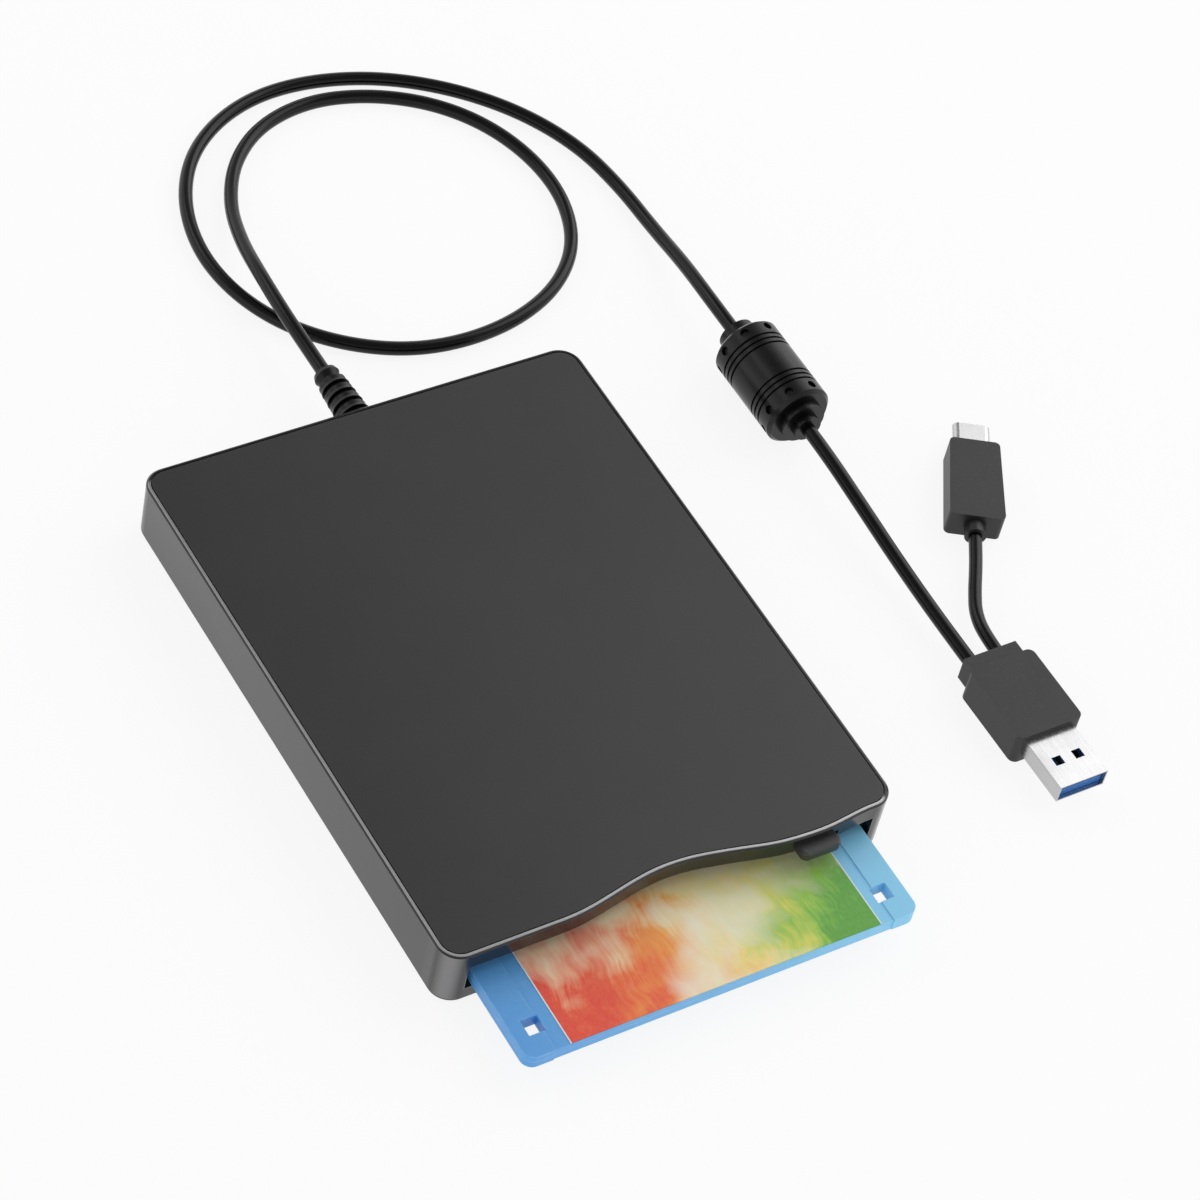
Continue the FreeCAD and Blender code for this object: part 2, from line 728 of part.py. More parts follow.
def makeHeads():
    base = f"({carriageLow} + sizes.arm_thick)"
    lower = middleBox("lower_head_block", "sizes.head_size", "sizes.head_size",
                      f"{diskLow} - sizes.head_gap - {base}", "0", f"{headY} - sizes.head_size / 2", base)
    piece("lower_head", lower)
    armLow = f"({hingeZ} - 0.6)"
    upper = middleBox("upper_head_block", "sizes.head_size", "sizes.head_size",
                      f"{armLow} - {diskTop} - sizes.head_gap", "0", f"{headY} - sizes.head_size / 2",
                      f"{diskTop} + sizes.head_gap")
    piece("upper_head", upper)
    strip = middleBox("upper_arm_strip", "sizes.arm_width - 0.6", f"{hingeY} - {headY} + sizes.head_size / 2 + 0.2",
                      "sizes.arm_thick", "0", f"{headY} - sizes.head_size / 2 - 0.2", armLow)
    knuckle = cylinder("arm_knuckle", "1.2", "sizes.arm_width - 0.6", "-(sizes.arm_width - 0.6) / 2", hingeY,
                       hingeZ, "x")
    bore = cylinder("knuckle_bore", "0.8 + sizes.running_fit", "sizes.arm_width + 4", "-sizes.arm_width / 2 - 2",
                    hingeY, hingeZ, "x")
    piece("upper_head_arm", cut("upper_arm", fuse("upper_arm_parts", strip, knuckle), bore))
    pin = cylinder("arm_pin_rod", "0.8", "sizes.arm_width + 3.6", "-sizes.arm_width / 2 - 1.8", hingeY, hingeZ, "x")
    piece("arm_hinge_pin", pin)


def makeLeadScrew():
    start = f"({front} + sizes.lead_start)"
    rod = cylinder("lead_screw_rod", "sizes.lead_radius", "sizes.lead_length", "sizes.screw_offset", start,
                   "sizes.screw_level", "y")
    return piece("lead_screw", rod)


def makeStepper():
    start = f"({front} + sizes.lead_start + sizes.lead_length)"
    can = cylinder("stepper_can", "sizes.stepper_radius", "sizes.stepper_length - 0.2", "sizes.screw_offset",
                   f"{start} + 0.2", "sizes.screw_level", "y")
    piece("stepper_motor", can)
    plate = middleBox("stepper_plate", "2 * sizes.stepper_radius", "sizes.chassis_sheet",
                      f"sizes.screw_level - {chassisTop} + 3", "sizes.screw_offset", f"{start} - sizes.chassis_sheet - 0.1",
                      chassisTop)
    foot = middleBox("stepper_foot", "2 * sizes.stepper_radius", "2", "sizes.chassis_sheet", "sizes.screw_offset",
                     f"{start} - 2", chassisTop)
    bore = cylinder("stepper_plate_bore", "sizes.lead_radius + sizes.running_fit", "4", "sizes.screw_offset",
                    f"{start} - 2", "sizes.screw_level", "y")
    piece("stepper_bracket", cut("bracket", fuse("bracket_bend", plate, foot), bore))


# Disk cradle, slider and button.

cradleSide = "(sizes.disk_width / 2 + sizes.cradle_side_gap)"
cradleLow = f"({diskTop} + sizes.cradle_gap)"
cradleTop = f"({cradleLow} + sizes.cradle_sheet)"
cradleStart = f"({front} + sizes.wall + 4.4)"
cradleEnd = f"({diskBack} + sizes.disk_proud + 3)"


def leverPivot():
    """Pivot of the lever whose tip pin moves from behind the disk's leading edge, in by the disk's travel and to
    the left by the shutter's travel."""
    dx = size("sizes.shutter_travel")
    dy = size("sizes.disk_proud")
    chord = math.hypot(dx, dy)
    length = size("sizes.lever_length")
    height = math.sqrt(length ** 2 - (chord / 2) ** 2)
    startX = size("sizes.lever_tip")
    startY = size(f"{diskBack} + sizes.lever_pin_gap + sizes.lever_pin_radius")
    x = startX - dx / 2 + height * dy / chord
    y = startY + dy / 2 + height * dx / chord
    return x, y, startX, startY


def makeCradle():
    width = f"(2 * ({cradleSide} + sizes.cradle_sheet))"
    plate = middleBox("cradle_plate", width, f"{cradleEnd} - {cradleStart}", "sizes.cradle_sheet", "0", cradleStart,
                      cradleLow)
    railLow = f"({diskLow} - sizes.cradle_gap - sizes.cradle_sheet)"
    solids = [plate]
    for name, wallX, railX in (
            ("left", f"-{cradleSide} - sizes.cradle_sheet", f"-{cradleSide} - sizes.cradle_sheet"),
            ("right", cradleSide, f"{cradleSide} + sizes.cradle_sheet - sizes.rail_width")):
        solids.append(box(f"cradle_wall_{name}", "sizes.cradle_sheet", f"{cradleEnd} - {cradleStart}",
                          f"{cradleTop} - {railLow}", wallX, cradleStart, railLow))
        solids.append(box(f"cradle_rail_{name}", "sizes.rail_width", f"{cradleEnd} - {cradleStart}",
                          "sizes.cradle_sheet", railX, cradleStart, railLow))
    for sign in ("", "-"):
        for end in ("front", "back"):
            pinX = cradleSide if sign == "" else "-sizes.chassis_side"
            pin = cylinder(f"cradle_pin_{len(solids)}", "sizes.pin_radius",
                           f"sizes.chassis_side - {cradleSide}", pinX, f"{front} + sizes.pin_{end}",
                           f"{caseLow} + sizes.pin_rise", "x")
            solids.append(pin)
    pivotX, pivotY, tipX, tipY = leverPivot()
    tab = box("lever_tab", "11", f"{pivotY + 4} - {cradleEnd} + 1", "sizes.cradle_sheet",
              f"{cradleSide} + sizes.cradle_sheet - 11", f"{cradleEnd} - 1", cradleLow)
    solids.append(tab)
    headWindow = middleBox("head_window_cut", "sizes.arm_width + 8", f"{cradleEnd} - {headY} + 16", "4", "0",
                           f"{headY} - 15", f"{cradleLow} - 1")
    blockSlot = middleBox("block_slot_cut", "sizes.block_width - 3", "sizes.disk_proud + sizes.block_length + 3",
                          "4", "sizes.block_centre", f"{diskBack} - 1", f"{cradleLow} - 1")
    reach = size("sizes.lever_length") + 2.5
    inner = size("sizes.lever_length") - 2.5
    sweep = size("sizes.lever_sweep")
    first = math.degrees(math.atan2(tipY - pivotY, tipX - pivotX))
    ring = doc.addObject("Part::Feature", "lever_slot_cut")
    sector = Part.makeCylinder(reach, 4, Vector(pivotX, pivotY, size(cradleLow) - 1), Vector(0, 0, 1), sweep + 14)
    hollow = Part.makeCylinder(inner, 6, Vector(pivotX, pivotY, size(cradleLow) - 2))
    ring.Shape = sector.cut(hollow)
    ring.Shape = ring.Shape.copy().rotated(Vector(pivotX, pivotY, 0), Vector(0, 0, 1), first - sweep - 7)
    frontCut = middleBox("cradle_front_cut", "48", "12", "4", "0", f"{cradleStart} - 1", f"{cradleLow} - 1")
    return piece("disk_cradle", cut("cradle", fuse("cradle_parts", *solids), headWindow, blockSlot, ring, frontCut))


sliderLow = f"({caseLow} + sizes.button_top - sizes.slider_sheet)"
sliderSide = f"({cradleSide} + sizes.cradle_sheet + sizes.slider_gap)"
sliderStart = f"({front} + sizes.wall + 4.6)"


def makeSlider():
    width = f"(2 * ({sliderSide} + sizes.slider_sheet))"
    bar = middleBox("slider_bar_plate", width, "sizes.slider_bar", "sizes.slider_sheet", "0", sliderStart, sliderLow)
    low = f"({caseLow} + sizes.pin_rise - 2)"
    solids = [bar]
    slots = []
    angle = math.degrees(math.atan2(size("sizes.lift_travel"), size("sizes.eject_travel")))
    run = "sqrt(sizes.lift_travel * sizes.lift_travel + sizes.eject_travel * sizes.eject_travel)"
    for name, x in (("left", f"-{sliderSide} - sizes.slider_sheet"), ("right", sliderSide)):
        solids.append(box(f"slider_wall_{name}", "sizes.slider_sheet", f"sizes.pin_back + 4 - sizes.wall - 4.6",
                          f"{sliderLow} + sizes.slider_sheet - {low}", x, sliderStart, low))
        for end in ("front", "back"):
            slot = doc.addObject("Part::Feature", f"cam_slot_{name}_{end}")
            radius = size("sizes.pin_radius + sizes.pin_clearance")
            length = size(run)
            centre = Vector(size(x) - 1, size(f"{front} + sizes.pin_{end}"), size(f"{caseLow} + sizes.pin_rise"))
            depth = size("sizes.slider_sheet") + 2
            along = Vector(0, -size("sizes.eject_travel") / length, size("sizes.lift_travel") / length)
            across = Vector(0, -along.z, along.y)
            start = [centre + across * radius, centre + across * radius + along * length,
                     centre - across * radius + along * length, centre - across * radius]
            face = Part.Face(Part.makePolygon(start + [start[0]]))
            middle = face.extrude(Vector(depth, 0, 0))
            ends = [Part.makeCylinder(radius, depth, point, Vector(1, 0, 0)) for point in (centre, centre + along * length)]
            slot.Shape = middle.multiFuse(ends).removeSplitter()
            slots.append(slot)
    clear = middleBox("slider_window", "46", "14", "3", "0", f"{sliderStart} + 6", f"{sliderLow} - 1")
    return piece("eject_slider", cut("slider", fuse("slider_parts", *solids), *slots, clear))


def makeButton():
    body = doc.addObject("PartDesign::Body", "eject_button")
    low = f"({caseLow} + sizes.button_top - sizes.button_thick)"
    outline = newSketch(body, "button_outline", low)
    half = "(sizes.button_width / 2)"
    rectangle(outline, f"sizes.button_centre - {half}", f"{front} - sizes.button_proud",
              f"sizes.button_centre + {half}", f"{sliderStart} + 5")
    block = pad(body, outline, "sizes.button_thick - sizes.slider_sheet", "button_block")
    head = newSketch(body, "button_head_outline", f"{low}")
    rectangle(head, f"sizes.button_centre - {half}", f"{front} - sizes.button_proud",
              f"sizes.button_centre + {half}", f"{sliderStart}")
    whole = pad(body, head, "sizes.button_thick", "button_head")
    corners = edgesWhere(whole, lambda edge: upright(edge) and edge.Vertexes[0].Y < size(front) - 1)
    rounded = dress(body, "Fillet", whole, corners, "1.4", "button_corners")
    rim = edgesWhere(rounded, lambda edge: atLevel(edge, size(f"{caseLow} + sizes.button_top"))
                     and edge.BoundBox.YMin < size(front))
    dress(body, "Fillet", rounded, rim, "0.5", "button_rim")
    return piece("eject_button", body)


def makeEjectorBlock():
    start = f"({diskBack} + sizes.block_gap)"
    lower = middleBox("block_pusher", "sizes.block_width", "sizes.block_length", f"{cradleLow} - {diskLow} - 0.5",
                      "sizes.block_centre", start, f"{diskLow} + 0.4")
    neck = middleBox("block_neck", "sizes.block_width - 3.4", "sizes.block_length", f"{cradleTop} - {cradleLow} + 0.3",
                     "sizes.block_centre", start, f"{cradleLow} - 0.15")
    head = middleBox("block_head", "sizes.block_width", "sizes.block_length", "0.8", "sizes.block_centre", start,
                     f"{cradleTop} + 0.1")
    return piece("ejector_block", fuse("block", lower, neck, head))


def makeShutterLever():
    pivotX, pivotY, tipX, tipY = leverPivot()
    length = size("sizes.lever_length")
    angle = math.degrees(math.atan2(tipY - pivotY, tipX - pivotX))
    level = size(f"{cradleTop} + 0.1")
    half = size("sizes.lever_width") / 2
    radius = size("sizes.lever_pin_radius")
    bar = Part.makeBox(length, 2 * half, 0.8, Vector(0, -half, 0))
    eye = Part.makeCylinder(half + 1, 0.8)
    tip = Part.makeCylinder(half, 0.8, Vector(length, 0, 0))
    drop = level - size(diskLow) - 1.7
    pin = Part.makeCylinder(radius, drop + 0.4, Vector(length, 0, -drop))
    bore = Part.makeCylinder(1.2 + size("sizes.running_fit"), 4, Vector(0, 0, -1))
    lever = doc.addObject("Part::Feature", "lever")
    lever.Shape = bar.multiFuse([eye, tip, pin]).cut(bore).removeSplitter()
    lever.Placement = FreeCAD.Placement(Vector(pivotX, pivotY, level), FreeCAD.Rotation(Vector(0, 0, 1), angle))
    piece("shutter_lever", lever)
    rivet = cylinder("rivet_shank", "1.2", "1", str(pivotX), str(pivotY), cradleTop)
    head = cylinder("rivet_head", "1.9", "0.5", str(pivotX), str(pivotY), f"{cradleTop} + 1")
    return piece("lever_rivet", fuse("rivet", rivet, head))


# Disk.

def diskBlank(name, low, high):
    body = doc.addObject("PartDesign::Body", name)
    outline = newSketch(body, name + "_outline", low)
    half = "(sizes.disk_width / 2)"
    rectangle(outline, f"-{half}", diskFront, half, diskBack)
    block = pad(body, outline, f"{high} - {low}", name + "_block")
    corners = edgesWhere(block, lambda edge: upright(edge) and edge.Vertexes[0].Y < 0)
    dress(body, "Fillet", block, corners, "sizes.disk_corner", name + "_corners")
    return body


def cutDisk(body, name, low, high, inner, outer, lowerHalf):
    """Media room, head window, corner holes and shutter recess of one half; inner and outer are the levels of its
    inside floor and its outside face."""
    room = newSketch(body, name + "_room_outline", f"{inner}")
    circle(room, "0", hubCentre, "sizes.media_radius + 1")
    pocket(body, room, f"{high} - {inner}" if lowerHalf else f"{inner} - {low}", name + "_room", upward=lowerHalf)
    window = newSketch(body, name + "_window_outline", low)
    half = "(sizes.window_width / 2)"
    rectangle(window, f"-{half}", f"{hubCentre} + sizes.window_inner", half,
              f"{hubCentre} + sizes.window_inner + sizes.window_length")
    pocket(body, window, f"{high} - {low}", name + "_window", upward=True)
    holes = newSketch(body, name + "_corner_holes_outline", low)
    start = f"({diskFront} + sizes.corner_hole_edge)"
    inside = "(sizes.disk_width / 2 - sizes.corner_hole_side)"
    rectangle(holes, f"-{inside}", start, f"-{inside} + sizes.corner_hole", f"{start} + sizes.corner_hole")
    rectangle(holes, f"{inside} - sizes.corner_hole", start, inside, f"{start} + sizes.corner_hole")
    pocket(body, holes, f"{high} - {low}", name + "_corner_holes", upward=True)
    recess = newSketch(body, name + "_shutter_recess_outline", outer)
    left = "(-sizes.shutter_left - sizes.shutter_travel - 0.5)"
    right = "(-sizes.shutter_left + sizes.shutter_width + 0.5)"
    rectangle(recess, left, f"{diskBack} - sizes.shutter_leg - 0.5", right, f"{diskBack} + 1")
    pocket(body, recess, "sizes.shutter_recess", name + "_shutter_recess", upward=lowerHalf)
    setback = newSketch(body, name + "_setback_outline", low)
    halfStep = "(sizes.step_width / 2)"
    rectangle(setback, f"sizes.step_shift - {halfStep}", f"{diskFront} - 1", f"sizes.step_shift + {halfStep}",
              f"{diskFront} + sizes.step_setback")
    pocket(body, setback, f"{high} - {low}", name + "_setback", upward=True)
    edge = newSketch(body, name + "_spine_room_outline", low)
    rectangle(edge, left, f"{diskBack} - sizes.shutter_spine - sizes.spine_gap", right, f"{diskBack} + 1")
    pocket(body, edge, f"{high} - {low}", name + "_spine_room", upward=True)


diskMiddle = f"({diskLow} + sizes.disk_thick / 2)"


def makeDiskLower():
    body = diskBlank("disk_lower_shell", diskLow, diskMiddle)
    cutDisk(body, "lower_half", diskLow, diskMiddle, f"{diskLow} + sizes.disk_wall", diskLow, True)
    hole = newSketch(body, "hub_hole_outline", diskLow)
    circle(hole, "0", hubCentre, "sizes.hub_radius + sizes.hub_hole_gap")
    pocket(body, hole, "sizes.disk_wall + 0.1", "hub_hole", upward=True)
    return piece("disk_lower_shell", body)


def makeDiskUpper():
    body = diskBlank("disk_upper_shell", diskMiddle, diskTop)
    cutDisk(body, "upper_half", diskMiddle, diskTop, f"{diskTop} - sizes.disk_wall", diskTop, False)
    label = newSketch(body, "label_recess_outline", diskTop)
    half = "(sizes.step_width / 2)"
    rectangle(label, f"sizes.step_shift - {half}", f"{diskFront} - 1", f"sizes.step_shift + {half}",
              f"{diskFront} + sizes.label_length + 0.2")
    pocket(body, label, "sizes.step_depth", "label_recess")
    return piece("disk_upper_shell", body)


def makeLabel():
    label = middleBox("label_sheet", "sizes.label_width", "sizes.label_length - 0.3", "sizes.label_thick",
                      "sizes.label_shift", f"{diskFront} + 0.3", f"{diskTop} - sizes.step_depth")
    return piece("disk_label", label)


def makeMedia():
    hubTop = f"({diskLow} + sizes.hub_thick + 0.25)"
    media = cylinder("media_disc", "sizes.media_radius", "sizes.media_thick", "0", hubCentre, hubTop)
    bore = cylinder("media_bore", "sizes.hub_radius - 2.5", "2", "0", hubCentre, f"{hubTop} - 1")
    piece("disk_media", cut("media", media, bore))
    plate = cylinder("hub_plate", "sizes.hub_radius", "sizes.hub_thick", "0", hubCentre, f"{diskLow} + 0.25")
    square = middleBox("hub_square", "4", "4", "3", "0", f"{hubCentre} - 2", f"{diskLow} - 0.5")
    slot = box("hub_slot", "3.2", "7", "3", "8 - 1.6", f"{hubCentre} - 3.5", f"{diskLow} - 0.5")
    return piece("disk_hub", cut("hub", plate, square, slot))


def makeLiners():
    """Two rings of cleaning cloth, one under the roof and one on the floor of the media room."""
    window = middleBox("liner_window", "sizes.window_width", "sizes.window_length + 2", "sizes.disk_thick", "0",
                       f"{hubCentre} + sizes.window_inner - 1", diskLow)
    rings = []
    for name, level in (("floor", f"{diskLow} + sizes.disk_wall"),
                        ("roof", f"{diskTop} - sizes.disk_wall - sizes.liner_thick")):
        disc = cylinder(f"liner_disc_{name}", "sizes.media_radius + 0.5", "sizes.liner_thick", "0", hubCentre, level)
        bore = cylinder(f"liner_bore_{name}", "sizes.hub_radius + sizes.hub_hole_gap + 0.5", "sizes.disk_thick", "0",
                        hubCentre, diskLow)
        rings.append(cut(f"liner_{name}", disc, bore, window))
    return piece("disk_liners", group("liner_group", *rings))


def makeShutter():
    length = "sizes.shutter_leg"
    left = "-sizes.shutter_left"
    low = f"({diskLow} + 0.05)"
    top = f"({diskTop} - 0.05 - sizes.shutter_sheet)"
    legs = [box(f"shutter_leg_{i}", "sizes.shutter_width", length, "sizes.shutter_sheet", left,
                f"{diskBack} - sizes.shutter_leg", z) for i, z in enumerate((low, top))]
    spine = box("shutter_spine_strip", "sizes.shutter_width", "sizes.shutter_spine",
                f"{top} + sizes.shutter_sheet - {low}", left, f"{diskBack} - sizes.shutter_spine", low)
    windowX = "(sizes.shutter_travel - sizes.window_width / 2 - 0.75)"
    window = box("shutter_window", "sizes.window_width + 1.5", "sizes.window_length + 1", "6",
                 windowX, f"{hubCentre} + sizes.window_inner - 0.5", f"{diskLow} - 1")
    return piece("disk_shutter", cut("shutter", fuse("shutter_fold", *legs, spine), window))


# Control electronics.

def makeBoards():
    width, length = "sizes.board_width", "sizes.board_length"
    left = "(-sizes.chassis_side + sizes.board_inset)"
    start = f"({front} + sizes.carriage_front - 6)"
    low = f"({chassisTop} + sizes.board_gap)"
    board = box("control_board_sheet", width, length, "sizes.board_thick", left, start, low)
    spacers = [cylinder(f"board_spacer_{i}", "1.5", "sizes.board_gap", f"{left} + {x}", f"{start} + {y}", chassisTop)
               for i, (x, y) in enumerate((x, y) for x in ("3", f"{width} - 3") for y in ("3", f"{length} - 3"))]
    piece("control_board", fuse("control_board_parts", board, *spacers))
    top = f"({low} + sizes.board_thick)"
    chips = [box(f"chip_{i}", f"{w} * {width}", f"{d} * {length}", "sizes.chip_thick",
                 f"{left} + {x} * {width}", f"{start} + {y} * {length}", top)
             for i, (x, y, w, d) in enumerate(((0.27, 0.15, 0.3, 0.33), (0.1, 0.63, 0.2, 0.19),
                                               (0.4, 0.59, 0.27, 0.26)))]
    piece("board_chips", group("chip_group", *chips))
    socket = box("cord_socket_block", "8", "5", "3.2", f"{left} + {width} - 8.5", f"{start} + {length} - 7", top)
    piece("cord_socket", socket)


# Cord, strain relief, noise filter and plugs. The points of each route lie in real sizes.

cordStart = (size("sizes.relief_centre"), size(f"{back} + sizes.relief_length"), size("sizes.relief_level"))
cordRoute = [
    cordStart, (1.6, 102.5, 7.8), (1.3, 114.0, 8.4), (2.0, 126.0, 8.0), (4.4, 139.5, 4.8), (8.6, 153.0, 2.2),
    (16.0, 165.3, 1.6), (27.0, 174.0, 1.6), (41.5, 177.4, 1.6), (56.0, 174.2, 1.6), (68.5, 166.5, 1.6),
    (77.0, 155.5, 1.6), (81.4, 142.0, 1.6), (81.4, 128.0, 1.6), (76.2, 114.5, 1.6), (66.0, 104.5, 1.6),
    (53.0, 98.9, 1.6), (39.0, 97.2, 1.6), (25.5, 99.3, 1.6), (13.0, 106.0, 1.6), (3.4, 115.8, 1.6),
    (-2.4, 128.0, 1.6), (-4.1, 142.0, 1.6), (-0.9, 156.5, 1.6), (6.6, 169.3, 1.6), (17.8, 178.4, 1.6),
    (31.5, 183.3, 1.6), (46.5, 183.0, 1.6), (61.5, 178.3, 1.6), (75.3, 169.2, 1.6), (86.3, 157.0, 1.6),
    (93.4, 142.5, 1.6), (95.8, 127.5, 1.6), (95.8, 112.0, 2.2), (94.4, 97.5, 5.6), (92.8, 83.5, 7.8),
    (size("sizes.barrel_across"), size("sizes.barrel_along + sizes.barrel_length + sizes.collar_length"),
     size("sizes.barrel_radius")),
]
plugCordRoute = [
    (size("sizes.barrel_across"), size("sizes.barrel_along - sizes.collar_length"), size("sizes.barrel_radius")),
    (92.8, 34.0, 7.8), (93.0, 20.0, 6.2), (93.0, 3.0, 4.5), (92.8, -14.0, 4.0),
    (92.8, size("sizes.plug_along + 3.5"), size("sizes.plug_height / 2")),
]


def makeTube(name, route, radius):
    """Round tube along straight runs joined by tangent arcs, each as large as its two runs allow."""
    points = [Vector(*point) for point in route]
    edges = []
    at = points[0]
    least = None
    for i in range(1, len(points) - 1):
        before = points[i - 1] - points[i]
        after = points[i + 1] - points[i]
        turn = math.pi - before.getAngle(after)
        shorter = min(before.Length, after.Length)
        reach = 0.45 * shorter
        bend = reach / math.tan(turn / 2)
        start = points[i] + before.normalize() * reach
        end = points[i] + after.normalize() * reach
        bisector = (before + after).normalize()
        inner = points[i] + bisector * (bend / math.cos(turn / 2) - bend)
        edges.append(Part.LineSegment(at, start).toShape())
        edges.append(Part.Arc(start, inner, end).toShape())
        at = end
        least = bend if least is None else min(least, bend)
    edges.append(Part.LineSegment(at, points[-1]).toShape())
    path = Part.Wire(edges)
    normal = (points[1] - points[0]).normalize()
    ring = Part.Wire([Part.Circle(points[0], normal, radius).toShape()])
    tube = path.makePipeShell([ring], True, False)
    share = tube.Volume / (math.pi * radius ** 2 * path.Length)
    print(f"{name}: length {path.Length:.1f} mm, least radius {least:.1f} mm, volume share {share:.4f}")
    obj = doc.addObject("Part::Feature", name + "_tube")
    obj.Shape = tube
    return piece(name, obj)


def makeStrainRelief():
    body = doc.addObject("PartDesign::Body", "strain_relief")
    profile = newSketch(body, "relief_profile", "0", "XY_Plane")
    length = "sizes.relief_length"
    corners = [("0", "-sizes.wall - 1.2"), ("sizes.relief_flange", "-sizes.wall - 1.2"),
               ("sizes.relief_flange", "-sizes.wall"), ("sizes.relief_base - 0.05", "-sizes.wall"),
               ("sizes.relief_base - 0.05", "sizes.rib_first")]
    for rib in range(5):
        at = f"(sizes.rib_first + {rib} * sizes.rib_pitch)"
        taper = f"(sizes.relief_base - sizes.relief_tip) * {at} / {length}"
        radius = f"(sizes.relief_base - {taper} - 0.05)"
        corners += [(radius, f"{at} + 0.01"), (radius, f"{at} + 1"), (f"{radius} - sizes.rib_groove", f"{at} + 1.1"),
                    (f"{radius} - sizes.rib_groove", f"{at} + 2"), (radius, f"{at} + 2.1")]
    corners = corners[:-1]
    corners += [("sizes.relief_tip", f"{length} - 1"), ("sizes.relief_tip - 0.3", length), ("0", length)]
    polygon(profile, corners)
    revolve(body, profile, "relief_turn")
    place(body, "sizes.relief_centre", back, "sizes.relief_level")
    return piece("strain_relief", body)


barrelX = "sizes.barrel_across"
barrelStart = "sizes.barrel_along"


def makeNoiseFilter():
    body = doc.addObject("PartDesign::Body", "barrel")
    profile = newSketch(body, "barrel_profile", "0", "XY_Plane")
    radius, length = "sizes.barrel_radius", "sizes.barrel_length"
    edge, width = "sizes.barrel_edge", "sizes.groove_width"
    bottom = f"{radius} - sizes.barrel_groove"
    corners = [("0", "0"), (f"{radius} - {edge}", "0"), (radius, edge)]
    for end in (0, 1):
        for ring in range(3):
            at = f"(sizes.groove_first + {ring} * sizes.groove_pitch)"
            if end == 1:
                at = f"({length} - sizes.groove_first - {width} - {2 - ring} * sizes.groove_pitch)"
            corners += [(radius, at), (bottom, f"{at} + 0.1"), (bottom, f"{at} + {width} - 0.1"),
                        (radius, f"{at} + {width}")]
    corners += [(radius, f"{length} - {edge}"), (f"{radius} - {edge}", length), ("0", length)]
    polygon(profile, corners)
    revolve(body, profile, "barrel_turn")
    place(body, barrelX, barrelStart, radius)
    dimples = []
    for end, y in enumerate((f"{barrelStart} + sizes.dimple_inset", f"{barrelStart} + {length} - sizes.dimple_inset")):
        for number in range(8):
            angle = 45 * number + 22.5
            drill = cylinder(f"dimple_{end}_{number}", "sizes.dimple_radius", "sizes.dimple_depth + 2", "0", "0", "0")
            drill.Placement = FreeCAD.Placement(Vector(), FreeCAD.Rotation(Vector(0, 1, 0), angle))
            reach = f"({radius} - sizes.dimple_depth)"
            place(drill, f"{barrelX} + {reach} * sin({angle} deg)", y, f"{radius} + {reach} * cos({angle} deg)")
            dimples.append(drill)
    piece("noise_filter", cut("dimpled_barrel", body, *dimples))
    upper = cylinder("filter_collar_back_ring", "sizes.collar_radius", "sizes.collar_length", barrelX,
                     f"{barrelStart} + {length}", radius, "y")
    lowerWide = cylinder("filter_collar_wide", "sizes.collar_radius + 1", "sizes.collar_length / 2", barrelX,
                         f"{barrelStart} - sizes.collar_length / 2", radius, "y")
    lowerSlim = cylinder("filter_collar_slim", "sizes.collar_radius - 1", "sizes.collar_length / 2 + 0.1", barrelX,
                         f"{barrelStart} - sizes.collar_length", radius, "y")
    return piece("filter_collars", group("filter_collar_group", upper, fuse("front_collar", lowerWide, lowerSlim)))


plugX = "sizes.plug_across"
plugBack = "sizes.plug_along"


def makePlugA():
    body = doc.addObject("PartDesign::Body", "plug_body")
    outline = newSketch(body, "plug_outline", "0")
    half = "(sizes.plug_width / 2)"
    rectangle(outline, f"{plugX} - {half}", f"{plugBack} - sizes.plug_length", f"{plugX} + {half}", plugBack)
    block = pad(body, outline, "sizes.plug_height", "plug_block")
    corners = edgesWhere(block, upright)
    dress(body, "Fillet", block, corners, "1.6", "plug_corners")
    neck = newSketch(body, "plug_neck_outline", "1")
    rectangle(neck, f"{plugX} - 6.6", f"{plugBack} - 2", f"{plugX} + 6.6", f"{plugBack} + 3.5")
    pad(body, neck, "sizes.plug_height - 2", "plug_neck")
    piece("plug_body", body)
    start = f"({plugBack} - sizes.plug_length - sizes.shell_length)"
    level = "((sizes.plug_height - sizes.shell_height) / 2)"
    outer = middleBox("shell_outer", "sizes.shell_width", "sizes.shell_length", "sizes.shell_height", plugX, start, level)
    inner = middleBox("shell_inner", "sizes.shell_width - 2 * sizes.shell_sheet", "sizes.shell_length",
                      "sizes.shell_height - 2 * sizes.shell_sheet", plugX, f"{start} - 0.5",
                      f"{level} + sizes.shell_sheet")
    hole = "sizes.shell_hole"
    holes = [middleBox(f"shell_hole_{i}", hole, hole, "2", f"({plugX} {sign} 2.5)", f"{start} + 5.2",
                       f"{level} + sizes.shell_height - 1") for i, sign in enumerate("-+")]
    piece("plug_shell", cut("shell", outer, inner, *holes))
    tongueLow = f"({level} + sizes.shell_sheet + 0.1)"
    tongue = middleBox("plug_tongue_block", "sizes.shell_width - 2 * sizes.shell_sheet - 0.2", "sizes.shell_length - 1.5",
                       "sizes.tongue_thick", plugX, f"{start} + 0.9", tongueLow)
    piece("plug_tongue", tongue)
    contacts = [middleBox(f"plug_contact_{i}", "sizes.contact_width", "sizes.contact_length", "sizes.contact_thick",
                          f"({plugX} + {x})", f"{start} + 1.6", f"{tongueLow} + sizes.tongue_thick")
                for i, x in enumerate((-3.5, -1, 1, 3.5))]
    return piece("plug_contacts", group("plug_contact_group", *contacts))


